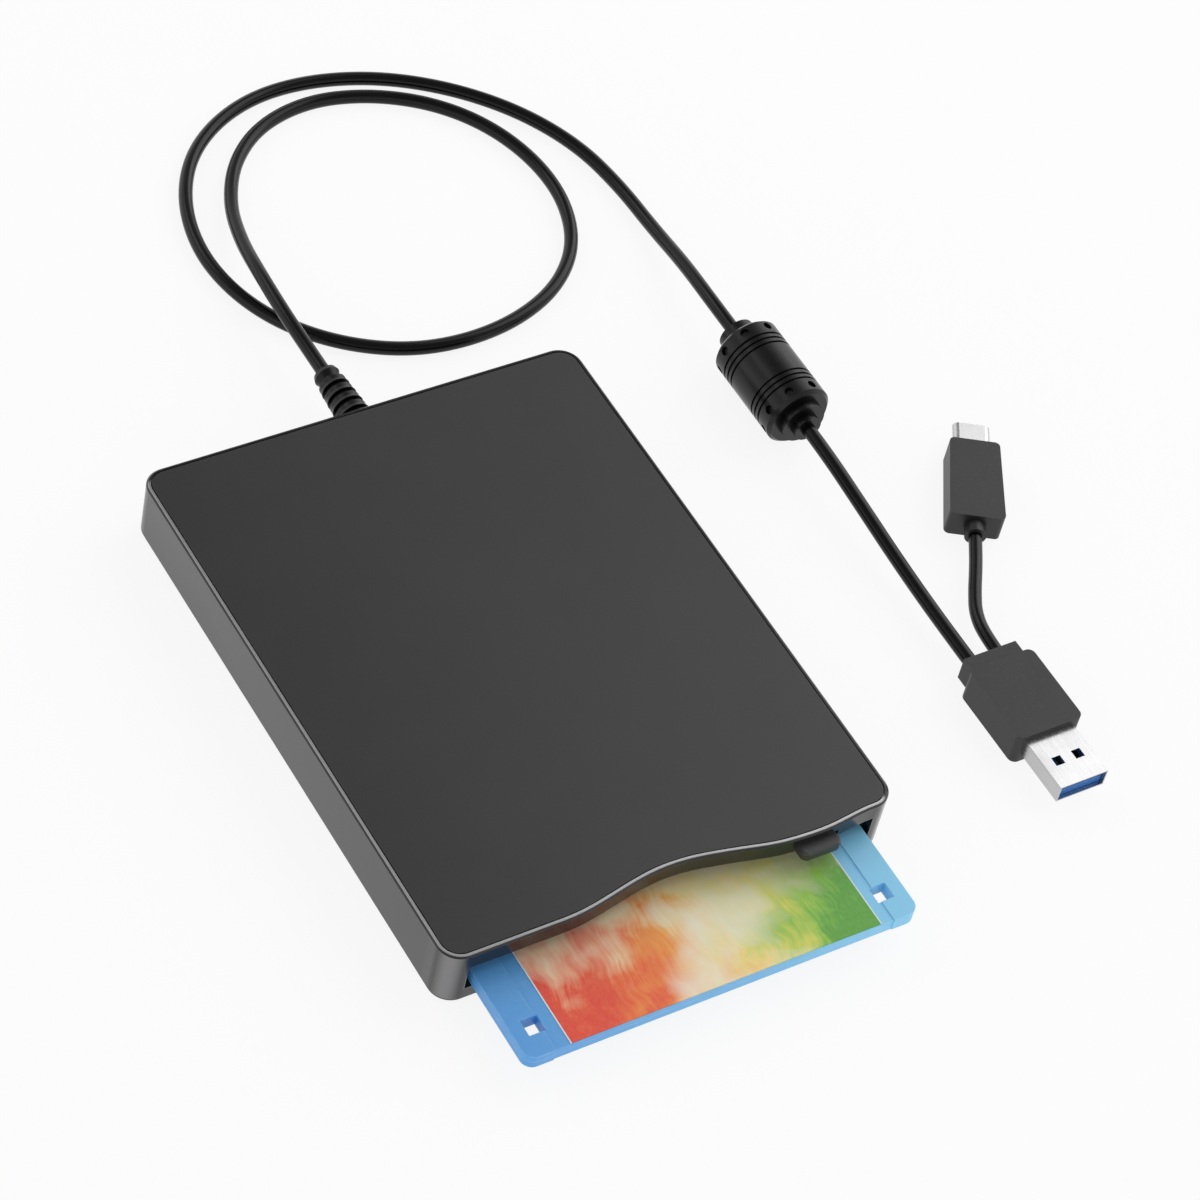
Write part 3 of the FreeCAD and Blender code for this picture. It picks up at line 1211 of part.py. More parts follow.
cTurn = -31.5
cBack = (115.4, 7.2)
cRoute = [
    (100.0, size("sizes.plug_along + 3.5"), 3.6), (100.1, -19.8, 3.6), (101.6, -14.0, 3.5), (104.8, -8.8, 3.5), (108.3, -3.9, 3.4), (111.2, 0.4, 3.3),
    (113.83, 4.64, 3.3),
]


def turned(obj, lift):
    obj.Placement = FreeCAD.Placement(Vector(cBack[0], cBack[1], lift), FreeCAD.Rotation(Vector(0, 0, 1), cTurn))
    return obj


def makePlugC():
    body = doc.addObject("PartDesign::Body", "c_plug_body")
    outline = newSketch(body, "c_plug_outline", "0")
    half = "(sizes.c_plug_width / 2)"
    polygon(outline, [(f"-{half}", "0"), (half, "0"), (f"{half} - 0.6", "sizes.c_plug_length"),
                      (f"-{half} + 0.6", "sizes.c_plug_length")])
    block = pad(body, outline, "sizes.c_plug_height", "c_plug_block")
    corners = edgesWhere(block, lambda edge: not atLevel(edge, 0) and not atLevel(edge, size("sizes.c_plug_height")))
    rounded = dress(body, "Fillet", block, corners, "1.2", "c_plug_corners")
    neck = newSketch(body, "c_neck_outline", "0", "XZ_Plane")
    circle(neck, "0", "sizes.c_plug_height / 2", "2.4")
    pad(body, neck, "3", "c_plug_neck")
    turned(body, 0)
    piece("c_plug_body", body)
    level = size("(sizes.c_plug_height - sizes.c_shell_height) / 2")

    def stadium(width, height, length, start):
        radius = height / 2
        middle = Part.makeBox(width - height, length, height, Vector(-(width - height) / 2, start, level))
        ends = [Part.makeCylinder(radius, length, Vector(x, start, level + radius), Vector(0, 1, 0))
                for x in (-(width - height) / 2, (width - height) / 2)]
        return middle.multiFuse(ends).removeSplitter()

    width, height = size("sizes.c_shell_width"), size("sizes.c_shell_height")
    sheetThick, length = size("sizes.c_shell_sheet"), size("sizes.c_shell_length")
    start = size("sizes.c_plug_length")
    outer = stadium(width, height, length, start)
    inner = stadium(width - 2 * sheetThick, height - 2 * sheetThick, length, start + 0.5)
    inner.translate(Vector(0, 0, sheetThick))
    shell = doc.addObject("Part::Feature", "c_shell")
    shell.Shape = outer.cut(inner)
    turned(shell, 0)
    piece("c_plug_shell", shell)
    tongue = doc.addObject("Part::Feature", "c_tongue")
    wide, thick = size("sizes.c_tongue_width"), size("sizes.c_tongue_thick")
    low = (size("sizes.c_plug_height") - thick) / 2
    tongue.Shape = Part.makeBox(wide, length - 1.2, thick, Vector(-wide / 2, start + 0.5, low))
    turned(tongue, 0)
    return piece("c_plug_tongue", tongue)


makeTopCover()
makeTopPanel()
makeBottomCover()
makeFeet()
makeCaseScrews()
makeChassis()
makeGuideRods()
makeMotorBoard()
makeStator()
makeBearing()
makeRotor()
makeSpindleShaft()
makeDrivePin()
makeCarriage()
makeHeads()
makeLeadScrew()
makeStepper()
makeCradle()
makeSlider()
makeButton()
makeEjectorBlock()
makeShutterLever()
makeDiskLower()
makeDiskUpper()
makeLabel()
makeMedia()
makeLiners()
makeShutter()
makeBoards()
makeStrainRelief()
makeTube("cord", cordRoute, size("sizes.cord_radius"))
makeNoiseFilter()
makeTube("plug_cord", plugCordRoute, size("sizes.cord_radius"))
makePlugA()
makeTube("c_plug_cord", cRoute, size("sizes.c_cord_radius"))
makePlugC()


def export():
    doc.recompute()
    for obj in doc.Objects:
        for state in obj.State:
            if state in ("Invalid", "Error"):
                raise RuntimeError(f"{obj.Name} failed: {obj.State}")
    for obj in pieces:
        if obj.Shape.isNull() or not obj.Shape.isValid():
            raise RuntimeError(f"{obj.Label} has no valid shape")
    os.makedirs("parts", exist_ok=True)
    for obj in pieces:
        obj.Shape.exportStep(f"parts/{obj.Label}.step")
    print(len(pieces), "pieces written")


export()
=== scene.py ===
import math

import bpy
import numpy as np
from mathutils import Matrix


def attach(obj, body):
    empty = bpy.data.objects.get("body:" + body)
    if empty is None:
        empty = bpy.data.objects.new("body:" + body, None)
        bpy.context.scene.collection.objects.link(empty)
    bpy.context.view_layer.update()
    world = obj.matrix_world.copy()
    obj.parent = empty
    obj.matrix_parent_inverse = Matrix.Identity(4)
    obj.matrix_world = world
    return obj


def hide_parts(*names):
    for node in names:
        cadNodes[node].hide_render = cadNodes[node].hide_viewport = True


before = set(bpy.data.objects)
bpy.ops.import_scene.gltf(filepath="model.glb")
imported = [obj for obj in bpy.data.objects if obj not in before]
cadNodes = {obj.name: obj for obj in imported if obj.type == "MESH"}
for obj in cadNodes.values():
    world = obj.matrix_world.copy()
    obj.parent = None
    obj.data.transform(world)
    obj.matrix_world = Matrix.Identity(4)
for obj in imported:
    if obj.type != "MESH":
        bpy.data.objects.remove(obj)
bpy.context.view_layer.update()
collection = bpy.context.scene.collection
print("frame loaded:", len(cadNodes), "nodes")

# Camera

view = {
    "azimuth": -40.662,       # degrees round the casing, 0 looks along +Y
    "elevation": 48.215,
    "roll": 14.183,
    "place": (-0.35906, -0.43078, 0.66811),
    "lens": 128.307,          # millimetres, as the sensor's width
    "sensor": 36.0,
    "clip": (0.01, 30.0),
}


def makeCamera(settings):
    # back points from the object to the camera; right and up are turned about it by the roll
    azimuth, elevation, roll = (math.radians(settings[key]) for key in ("azimuth", "elevation", "roll"))
    back = np.array([math.sin(azimuth) * math.cos(elevation), -math.cos(azimuth) * math.cos(elevation),
                     math.sin(elevation)])
    right = np.cross([0, 0, 1], back)
    right /= np.linalg.norm(right)
    up = np.cross(back, right)
    place = np.eye(4)
    place[:3, 0] = right * math.cos(roll) + up * math.sin(roll)
    place[:3, 1] = up * math.cos(roll) - right * math.sin(roll)
    place[:3, 2] = back
    place[:3, 3] = settings["place"]
    data = bpy.data.cameras.new("camera")
    data.lens = settings["lens"]
    data.sensor_width = settings["sensor"]
    data.clip_start, data.clip_end = settings["clip"]
    camera = bpy.data.objects.new("camera", data)
    camera.matrix_world = [list(row) for row in place.T]
    collection.objects.link(camera)
    bpy.context.scene.camera = camera


makeCamera(view)
print("camera placed")

# Cords: the routes of the part, in metres, each the control points of one smooth spline

lead = {
    "radius": 0.0016,
    "length": 0.5066,
    "points": [
        (0.0016, 0.09475, 0.0078), (0.0016, 0.1025, 0.0078), (0.0013, 0.114, 0.0084), (0.002, 0.126, 0.008),
        (0.0044, 0.1395, 0.0048), (0.0086, 0.153, 0.0022), (0.016, 0.1653, 0.0016), (0.027, 0.174, 0.0016),
        (0.0415, 0.1774, 0.0016), (0.056, 0.1742, 0.0016), (0.0685, 0.1665, 0.0016), (0.077, 0.1555, 0.0016),
        (0.0814, 0.142, 0.0016), (0.0814, 0.128, 0.0016), (0.0762, 0.1145, 0.0016), (0.066, 0.1045, 0.0016),
        (0.053, 0.0989, 0.0016), (0.039, 0.0972, 0.0016), (0.0255, 0.0993, 0.0016), (0.013, 0.106, 0.0016),
        (0.0034, 0.1158, 0.0016), (-0.0024, 0.128, 0.0016), (-0.0041, 0.142, 0.0016),
        (-0.0009, 0.1565, 0.0016), (0.0066, 0.1693, 0.0016), (0.0178, 0.1784, 0.0016),
        (0.0315, 0.1833, 0.0016), (0.0465, 0.183, 0.0016), (0.0615, 0.1783, 0.0016), (0.0753, 0.1692, 0.0016),
        (0.0863, 0.157, 0.0016), (0.0934, 0.1425, 0.0016), (0.0958, 0.1275, 0.0016), (0.0958, 0.112, 0.0022),
        (0.0944, 0.0975, 0.0056), (0.0928, 0.0835, 0.0078), (0.0928, 0.0727, 0.0078),
    ],
}
plugLead = {
    "radius": 0.0016,
    "length": 0.068,
    "points": [(0.0928, 0.042, 0.0078), (0.0928, 0.034, 0.0078), (0.093, 0.02, 0.0062),
               (0.093, 0.003, 0.0045), (0.0928, -0.014, 0.004), (0.0928, -0.0258, 0.004)],
}
cPlugLead = {
    "radius": 0.0015,
    "length": 0.0342,
    "points": [(0.1, -0.0258, 0.0036), (0.1001, -0.0198, 0.0036), (0.1016, -0.014, 0.0035),
               (0.1048, -0.0088, 0.0035), (0.1083, -0.0039, 0.0034), (0.1112, 0.0004, 0.0033),
               (0.11383, 0.00464, 0.0033)],
}


def makeCord(name, settings, node):
    curve = bpy.data.curves.new(name, "CURVE")
    curve.dimensions = "3D"
    curve.bevel_depth = 1.0        # times each point's own radius
    curve.bevel_resolution = 6
    curve.resolution_u = 8
    curve.use_fill_caps = True
    spline = curve.splines.new("NURBS")
    spline.points.add(len(settings["points"]) - 1)
    for point, place in zip(spline.points, settings["points"]):
        point.co = (*place, 1)
        point.radius = settings["radius"]
    spline.order_u = 3
    spline.use_endpoint_u = True
    cord = bpy.data.objects.new(name, curve)
    collection.objects.link(cord)
    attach(cord, "casing")
    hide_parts(node)
    return cord


cords = [
    makeCord("cordLead", lead, "cord"),
    makeCord("cordToPlug", plugLead, "plug_cord"),
    makeCord("cordToSmallPlug", cPlugLead, "c_plug_cord"),
]
print("cords laid:", len(cords))

# Node helpers


def tone(text):
    # a colour as seen on screen, written #rrggbb, to the linear values that shaders take
    seen = np.array([int(text[i:i + 2], 16) for i in (1, 3, 5)]) / 255
    linear = np.where(seen <= 0.04045, seen / 12.92, ((seen + 0.055) / 1.055) ** 2.4)
    return (*linear.tolist(), 1.0)


def addNode(tree, kind, feeds=None, **settings):
    node = tree.nodes.new("ShaderNode" + kind)
    for name, value in settings.items():
        setattr(node, name, value)
    for name, value in (feeds or {}).items():
        if isinstance(value, bpy.types.NodeSocket):
            tree.links.new(value, node.inputs[name])
        else:
            node.inputs[name].default_value = value
    return node


def calc(tree, operation, a, b=0.0, c=0.0, clamp=False):
    return addNode(tree, "Math", {0: a, 1: b, 2: c}, operation=operation, use_clamp=clamp).outputs[0]


def times(tree, first, *others):
    for other in others:
        first = calc(tree, "MULTIPLY", first, other)
    return first


def parts(tree, vector):
    return addNode(tree, "SeparateXYZ", {0: vector}).outputs


def vectorMath(tree, operation, a, b, output="Vector"):
    return addNode(tree, "VectorMath", {0: a, 1: b}, operation=operation).outputs[output]


def mixTones(tree, factor, a, b, blend="MIX"):
    return addNode(tree, "Mix", {0: factor, 6: a, 7: b}, data_type="RGBA", blend_type=blend).outputs[2]


def remap(tree, value, low, high, toLow=0.0, toHigh=1.0):
    return addNode(tree, "MapRange", {0: value, 1: low, 2: high, 3: toLow, 4: toHigh}, clamp=True).outputs[0]


def band(tree, value, inner, outer, fade):
    # 1 between the two limits, falling to 0 at each within the fade
    return times(tree, remap(tree, value, inner, inner + fade), remap(tree, value, outer, outer - fade))


def ramp(tree, factor, stops):
    node = addNode(tree, "ValToRGB", {0: factor})
    elements = node.color_ramp.elements
    elements[0].position, elements[0].color = stops[0]
    elements[1].position, elements[1].color = stops[-1]
    for position, colour in stops[1:-1]:
        elements.new(position).color = colour
    return node.outputs[0]


def places(tree):
    return addNode(tree, "TexCoord").outputs["Object"]


def noise(tree, vector, scale, detail=2.0, roughness=0.5, output="Fac"):
    return addNode(tree, "TexNoise", {"Vector": vector, "Scale": scale, "Detail": detail,
                                      "Roughness": roughness}).outputs[output]


def stretched(tree, vector, scale, place=(0, 0, 0), turn=(0, 0, 0)):
    return addNode(tree, "Mapping", {"Vector": vector, "Location": place, "Rotation": turn,
                                     "Scale": scale}).outputs[0]


def startGroup(name, inputs, outputs):
    group = bpy.data.node_groups.new(name, "ShaderNodeTree")
    for label, value in inputs.items():
        kind = "NodeSocketVector" if isinstance(value, tuple) else "NodeSocketFloat"
        group.interface.new_socket(label, in_out="INPUT", socket_type=kind).default_value = value
    for label in outputs:
        group.interface.new_socket(label, in_out="OUTPUT", socket_type="NodeSocketFloat")
    return group, group.nodes.new("NodeGroupInput"), group.nodes.new("NodeGroupOutput")


# Upright axes of turned pieces, the lead screw's axis along Y, and the screw's pitch

axes = {
    "disk": (0.0, -0.02925, 0.0),
    "spindle": (0.0, -0.00775, 0.0),
    "caseScrew": (0.0498, -0.0538, 0.0),
    "screw": (0.022, 0.0, 0.0066),
}
screwPitch = 0.003

# Shared effects

def makeMouldGrain():
    # the fine eroded skin of moulded and painted plastic, and the slow clouds of its gloss
    group, start, end = startGroup("mouldGrain", {"Scale": 4000.0, "Clouds": 40.0}, ["Grain", "Cloud"])
    vector = places(group)
    fine = noise(group, vector, start.outputs["Scale"], 3, 0.6)
    pits = addNode(group, "TexVoronoi", {"Vector": vector, "Scale": start.outputs["Scale"]}, feature="F1")
    mixed = calc(group, "MULTIPLY_ADD", pits.outputs["Distance"], 0.5, times(group, fine, 0.6))
    slow = noise(group, vector, start.outputs["Clouds"], 3)
    group.links.new(mixed, end.inputs["Grain"])
    group.links.new(remap(group, slow, 0.3, 0.7), end.inputs["Cloud"])
    return group


def makeWornEdges():
    # bare along the outer edges: where a rounded normal leaves the face's own, broken up by a coarse noise
    group, start, end = startGroup("wornEdges", {"Width": 0.0004, "Amount": 0.5, "Breaks": 300.0}, ["Mask"])
    rounded = addNode(group, "Bevel", {"Radius": start.outputs["Width"]}, samples=4).outputs[0]
    own = addNode(group, "NewGeometry").outputs["Normal"]
    together = vectorMath(group, "DOT_PRODUCT", rounded, own, "Value")
    edge = remap(group, together, 0.995, 0.85)
    breaks = remap(group, noise(group, places(group), start.outputs["Breaks"], 4, 0.6), 0.35, 0.6)
    worn = calc(group, "MULTIPLY", edge, times(group, breaks, start.outputs["Amount"]), clamp=True)
    group.links.new(worn, end.inputs["Mask"])
    return group


def makeFineDust():
    # settles on faces that look up, in soft patches with specks
    group, start, end = startGroup("fineDust", {"Amount": 0.3, "Specks": 1500.0}, ["Mask"])
    vector = places(group)
    normal = addNode(group, "NewGeometry").outputs["Normal"]
    upward = remap(group, parts(group, normal)[2], 0.2, 0.95)
    patches = remap(group, noise(group, vector, 55, 4), 0.4, 0.75)
    specks = remap(group, noise(group, vector, start.outputs["Specks"], 2), 0.58, 0.7)
    both = calc(group, "MULTIPLY_ADD", specks, 0.7, times(group, patches, 0.3))
    settled = calc(group, "MULTIPLY", times(group, both, upward), start.outputs["Amount"], clamp=True)
    group.links.new(settled, end.inputs["Mask"])
    return group


def makeBrushMarks():
    # lines along one way of the object: a noise squeezed across it
    group, start, end = startGroup("brushMarks", {"Stretch": (40.0, 2500.0, 2500.0)}, ["Height", "Mask"])
    squeezed = vectorMath(group, "MULTIPLY", places(group), start.outputs["Stretch"])
    lines = noise(group, squeezed, 1.0, 3, 0.6)
    group.links.new(lines, end.inputs["Height"])
    group.links.new(remap(group, lines, 0.35, 0.65), end.inputs["Mask"])
    return group


def makeTurnedRings():
    # rings round an upright axis through Centre: a wave of the distance from it
    group, start, end = startGroup("turnedRings", {"Centre": (0.0, 0.0, 0.0), "Pitch": 0.0003},
                                   ["Height", "Reach"])
    apart = vectorMath(group, "SUBTRACT", places(group), start.outputs["Centre"])
    flat = vectorMath(group, "MULTIPLY", apart, (1.0, 1.0, 0.0))
    reach = addNode(group, "VectorMath", {0: flat}, operation="LENGTH").outputs["Value"]
    turns = calc(group, "DIVIDE", times(group, reach, 2 * math.pi), start.outputs["Pitch"])
    group.links.new(calc(group, "MULTIPLY_ADD", calc(group, "SINE", turns), 0.5, 0.5), end.inputs["Height"])
    group.links.new(reach, end.inputs["Reach"])
    return group


effects = {
    "mouldGrain": makeMouldGrain(),
    "wornEdges": makeWornEdges(),
    "fineDust": makeFineDust(),
    "brushMarks": makeBrushMarks(),
    "turnedRings": makeTurnedRings(),
}


def effect(tree, name, **values):
    return addNode(tree, "Group", values, node_tree=effects[name])


def newMaterial(name):
    material = bpy.data.materials.new(name)
    material.use_nodes = True
    tree = material.node_tree
    return material, tree, tree.nodes["Principled BSDF"]


def feed(tree, shader, **values):
    names = {"colour": "Base Color", "metal": "Metallic", "rough": "Roughness", "coat": "Coat Weight",
             "coatRough": "Coat Roughness", "level": "Specular IOR Level", "normal": "Normal",
             "soft": "Subsurface Weight", "softReach": "Subsurface Radius", "softScale": "Subsurface Scale",
             "sheen": "Sheen Weight"}
    for name, value in values.items():
        if isinstance(value, bpy.types.NodeSocket):
            tree.links.new(value, shader.inputs[names[name]])
        else:
            shader.inputs[names[name]].default_value = value


def relief(tree, height, distance, strength=1.0, under=None):
    feeds = {"Height": height, "Distance": distance, "Strength": strength}
    if under is not None:
        feeds["Normal"] = under
    return addNode(tree, "Bump", feeds).outputs[0]


# Plastics

def plastic(name, colour, second, rough=0.42, grain=4000.0, depth=0.00001, worn=0.25, dust=0.15):
    # body colour clouded towards a second one, with eroded skin, paler rubbed edges and a little dust
    material, tree, shader = newMaterial(name)
    skin = effect(tree, "mouldGrain", Scale=grain, Clouds=60.0)
    edges = effect(tree, "wornEdges", Width=0.0003, Amount=worn)
    dusty = effect(tree, "fineDust", Amount=dust)
    body = mixTones(tree, skin.outputs["Cloud"], tone(colour), tone(second))
    edgeWearAndHighlight = mixTones(tree, edges.outputs["Mask"], body, mixTones(tree, 0.35, body, tone("#c8c8c8")))
    covered = mixTones(tree, dusty.outputs["Mask"], edgeWearAndHighlight, tone("#b9b5ac"))
    gloss = calc(tree, "MULTIPLY_ADD", skin.outputs["Grain"], 0.08, rough - 0.04)
    gloss = calc(tree, "MULTIPLY_ADD", skin.outputs["Cloud"], 0.05, gloss)
    gloss = calc(tree, "MULTIPLY_ADD", dusty.outputs["Mask"], 0.3, gloss, clamp=True)
    feed(tree, shader, colour=covered, rough=gloss, normal=relief(tree, skin.outputs["Grain"], depth))
    return material


# Metals

def metal(name, colour, second, stretch, rough=0.3, depth=0.0000015, worn=0.15, dust=0.02):
    # drawn or rolled sheet: brushed lines in gloss and height, clouded tarnish, bright rubbed edges
    material, tree, shader = newMaterial(name)
    marks = effect(tree, "brushMarks", Stretch=stretch)
    skin = effect(tree, "mouldGrain", Scale=2500.0, Clouds=90.0)
    edges = effect(tree, "wornEdges", Width=0.00015, Amount=worn)
    dusty = effect(tree, "fineDust", Amount=dust)
    body = mixTones(tree, skin.outputs["Cloud"], tone(colour), tone(second))
    body = mixTones(tree, times(tree, marks.outputs["Mask"], 0.12), body, tone("#ffffff"), "OVERLAY")
    bright = mixTones(tree, edges.outputs["Mask"], body, tone("#e6e6e4"))
    gloss = calc(tree, "MULTIPLY_ADD", marks.outputs["Mask"], 0.12, rough - 0.05)
    gloss = calc(tree, "MULTIPLY_ADD", skin.outputs["Cloud"], 0.08, gloss)
    gloss = calc(tree, "MULTIPLY_ADD", dusty.outputs["Mask"], 0.4, gloss, clamp=True)
    covered = mixTones(tree, dusty.outputs["Mask"], bright, tone("#a9a59c"))
    feed(tree, shader, colour=covered, metal=1.0, rough=gloss,
         normal=relief(tree, marks.outputs["Height"], depth))
    return material


# Casing

casing = {
    "side": "#474748",            # paint on the walls, and its second tone
    "sideDeep": "#424243",
    # painted highlight at the upright corners
    "corner": "#8a8a8b",
    # painted shade in the groove inside the rim
    "grooveShade": "#0d0d0e",
    "shadeEdge": "#19191a",
    "flakes": 9000.0,
    "flakeTone": "#b4b4b6",
    # painted shade on the walls towards the floor and the front
    "wallShadeTone": "#262627",
    # painted highlight along the top edge and on the rim's top face
    "rim": "#a6a6a7",
    "inside": "#1b1b1c",
    "dust": "#b5b1a8",
    "halfWidth": 0.0517,
    "back": 0.07775,
    "middle": 0.01075,            # of the casing, along Y
    "front": -0.05625,
    "frontReach": 0.0038,         # of the slot's lining, behind the front
    "frontPolish": (0.008, 0.006),  # behind the front, where the smoother wall fades in
    "wall": 0.0016,
    "grooveLow": 0.0136,          # heights of the groove between rim and panel
    "grooveFloor": 0.0139,
    "grooveTop": 0.0149,
    "inwardBelow": -0.008,        # place times normal, where a face looks to the casing's middle
    "wallShadeLow": (0.012, 0.001),    # heights, and ways along Y, where the walls fade to the painted shade
    "wallShadeNear": (0.06, -0.04),
    "shadeRight": (0.0485, 0.0495),
    "shadeBack": (0.0745, 0.0755),
    "panel": "#292929",
    "panelDeep": "#262626",
    # painted shade towards the panel's left
    "panelLeftShade": "#1d1d1d",
    "panelShadeFade": (0.0, -0.05),    # along X, from the panel's own tone to the painted shade at the left
}


def makeCasingShell(settings):
    # metal-look paint outside, plain dark moulding inside: the split follows the distance from the walls
    material, tree, shader = newMaterial("casingShell")
    vector = places(tree)
    x, y, z = parts(tree, vector)
    normal = addNode(tree, "NewGeometry").outputs["Normal"]
    facing = parts(tree, normal)
    skin = effect(tree, "mouldGrain", Scale=6000.0, Clouds=35.0)
    flakes = addNode(tree, "TexVoronoi", {"Vector": vector, "Scale": settings["flakes"]}, feature="F1")
    sparkle = remap(tree, addNode(tree, "SeparateColor", {0: flakes.outputs["Color"]}).outputs[0], 0.1, 0.9)
    edges = effect(tree, "wornEdges", Width=0.0003, Amount=1.0, Breaks=120.0)
    dusty = effect(tree, "fineDust", Amount=0.06)
    paint = mixTones(tree, skin.outputs["Cloud"], tone(settings["side"]), tone(settings["sideDeep"]))
    paint = mixTones(tree, times(tree, sparkle, 0.06), paint, tone(settings["flakeTone"]))
    # painted shade on the walls towards the floor and the front, and a painted highlight at the upright
    # corners
    low = remap(tree, z, *settings["wallShadeLow"], 0.0, 0.4)
    near = remap(tree, y, *settings["wallShadeNear"], 0.0, 0.6)
    paint = mixTones(tree, calc(tree, "MAXIMUM", low, near), paint, tone(settings["wallShadeTone"]))
    turn = calc(tree, "ABSOLUTE", times(tree, facing[0], facing[1]))
    paint = mixTones(tree, remap(tree, turn, 0.2, 0.49, 0.0, 0.75), paint, tone(settings["corner"]))
    # top edge: painted highlight along the front and left, painted shade along the right and back
    high = remap(tree, z, settings["grooveLow"], settings["grooveFloor"])
    shade = calc(tree, "MAXIMUM", remap(tree, x, *settings["shadeRight"]),
                 remap(tree, y, *settings["shadeBack"]))
    edgeWearAndHighlight = times(tree, edges.outputs["Mask"], calc(tree, "MULTIPLY_ADD", shade, -0.9, 0.9))
    paint = mixTones(tree, edgeWearAndHighlight, paint, tone(settings["rim"]))
    paint = mixTones(tree, times(tree, shade, high, 0.85), paint, tone(settings["shadeEdge"]))
    # painted shade in the groove inside the rim: faces that look to the casing's middle, and its floor
    flat = stretched(tree, vector, (1, 1, 0), place=(0, -settings["middle"], 0))
    outward = vectorMath(tree, "DOT_PRODUCT", flat, normal, "Value")
    inward = calc(tree, "LESS_THAN", outward, settings["inwardBelow"])
    upward = calc(tree, "GREATER_THAN", facing[2], 0.3)
    raised = calc(tree, "GREATER_THAN", z, settings["grooveTop"])
    # painted highlight on the rim's top face, except along the right and back
    lipHighlight = times(tree, upward, raised, calc(tree, "SUBTRACT", 1.0, shade))
    paint = mixTones(tree, times(tree, lipHighlight, 0.8), paint, tone(settings["rim"]))
    floor = times(tree, upward, calc(tree, "SUBTRACT", 1.0, raised))
    grooveShade = times(tree, calc(tree, "MAXIMUM", inward, floor), high)
    paint = mixTones(tree, grooveShade, paint, tone(settings["grooveShade"]))
    depth = 0.7 * settings["wall"]
    inX = calc(tree, "LESS_THAN", calc(tree, "ABSOLUTE", x), settings["halfWidth"] - depth)
    beforeBack = calc(tree, "LESS_THAN", y, settings["back"] - depth)
    behindFront = calc(tree, "GREATER_THAN", y, settings["front"] + settings["frontReach"])
    under = calc(tree, "LESS_THAN", z, settings["grooveFloor"])
    inside = times(tree, inX, beforeBack, behindFront, under)
    body = mixTones(tree, inside, paint, tone(settings["inside"]))
    body = mixTones(tree, dusty.outputs["Mask"], body, tone(settings["dust"]))
    # smoother on the front wall, which mirrors the disk
    front = remap(tree, y, *(settings["front"] + reach for reach in settings["frontPolish"]))
    gloss = calc(tree, "MULTIPLY_ADD", sparkle, 0.06, 0.3)
    gloss = calc(tree, "MULTIPLY_ADD", front, -0.12, gloss)
    gloss = calc(tree, "MULTIPLY_ADD", inside, 0.25, gloss)
    gloss = calc(tree, "MULTIPLY_ADD", dusty.outputs["Mask"], 0.4, gloss, clamp=True)
    metallic = calc(tree, "MULTIPLY_ADD", calc(tree, "MAXIMUM", inside, grooveShade), -0.7, 0.7)
    feed(tree, shader, colour=body, rough=gloss, metal=metallic, coat=0.25, coatRough=0.12,
         normal=relief(tree, skin.outputs["Grain"], 0.000003))
    return material


def makeCasingPanel(settings):
    # dark satin sheet: very fine eroded skin, soft gloss clouds, hair scratches and a few specks of dust
    material, tree, shader = newMaterial("casingPanel")
    vector = places(tree)
    skin = effect(tree, "mouldGrain", Scale=7000.0, Clouds=18.0)
    edges = effect(tree, "wornEdges", Width=0.0002, Amount=0.3, Breaks=150.0)
    dusty = effect(tree, "fineDust", Amount=0.03, Specks=2200.0)
    scratch = noise(tree, stretched(tree, vector, (900.0, 12.0, 1.0), turn=(0, 0, 0.6)), 1.0, 2)
    hair = remap(tree, scratch, 0.74, 0.78)
    body = mixTones(tree, skin.outputs["Cloud"], tone(settings["panel"]), tone(settings["panelDeep"]))
    # painted shade: the panel darkens towards the left
    leftShade = remap(tree, parts(tree, vector)[0], *settings["panelShadeFade"], 0.0, 0.75)
    body = mixTones(tree, leftShade, body, tone(settings["panelLeftShade"]))
    body = mixTones(tree, edges.outputs["Mask"], body, tone("#8a8a8a"))
    body = mixTones(tree, dusty.outputs["Mask"], body, tone("#9d9a93"))
    gloss = calc(tree, "MULTIPLY_ADD", skin.outputs["Cloud"], 0.015, 0.36)
    gloss = calc(tree, "MULTIPLY_ADD", skin.outputs["Grain"], 0.03, gloss)
    gloss = calc(tree, "MULTIPLY_ADD", hair, -0.04, gloss)
    gloss = calc(tree, "MULTIPLY_ADD", dusty.outputs["Mask"], 0.3, gloss, clamp=True)
    normal = relief(tree, skin.outputs["Grain"], 0.0000015)
    feed(tree, shader, colour=body, rough=gloss, normal=relief(tree, hair, -0.000001, 0.4, normal))
    return material


# Disk

disk = {
    # painted light: the blue is darker at the left and lighter at the right
    "blueShadedLeft": "#5aa6ea",
    "blueLitRight": "#90dafe",
    "halfWidth": 0.045,
    "labelLeft": -0.03545,
    "labelWidth": 0.0715,
    "labelFront": -0.07745,
    "labelLength": 0.0567,
    "labelBorder": 0.4965,        # where its pale edge starts, as a share of its width from the middle
    "headsInner": 0.0215,         # reach of the heads' band on the film, from the hub's axis
    "headsOuter": 0.0405,
    "headsFade": 0.0015,
}


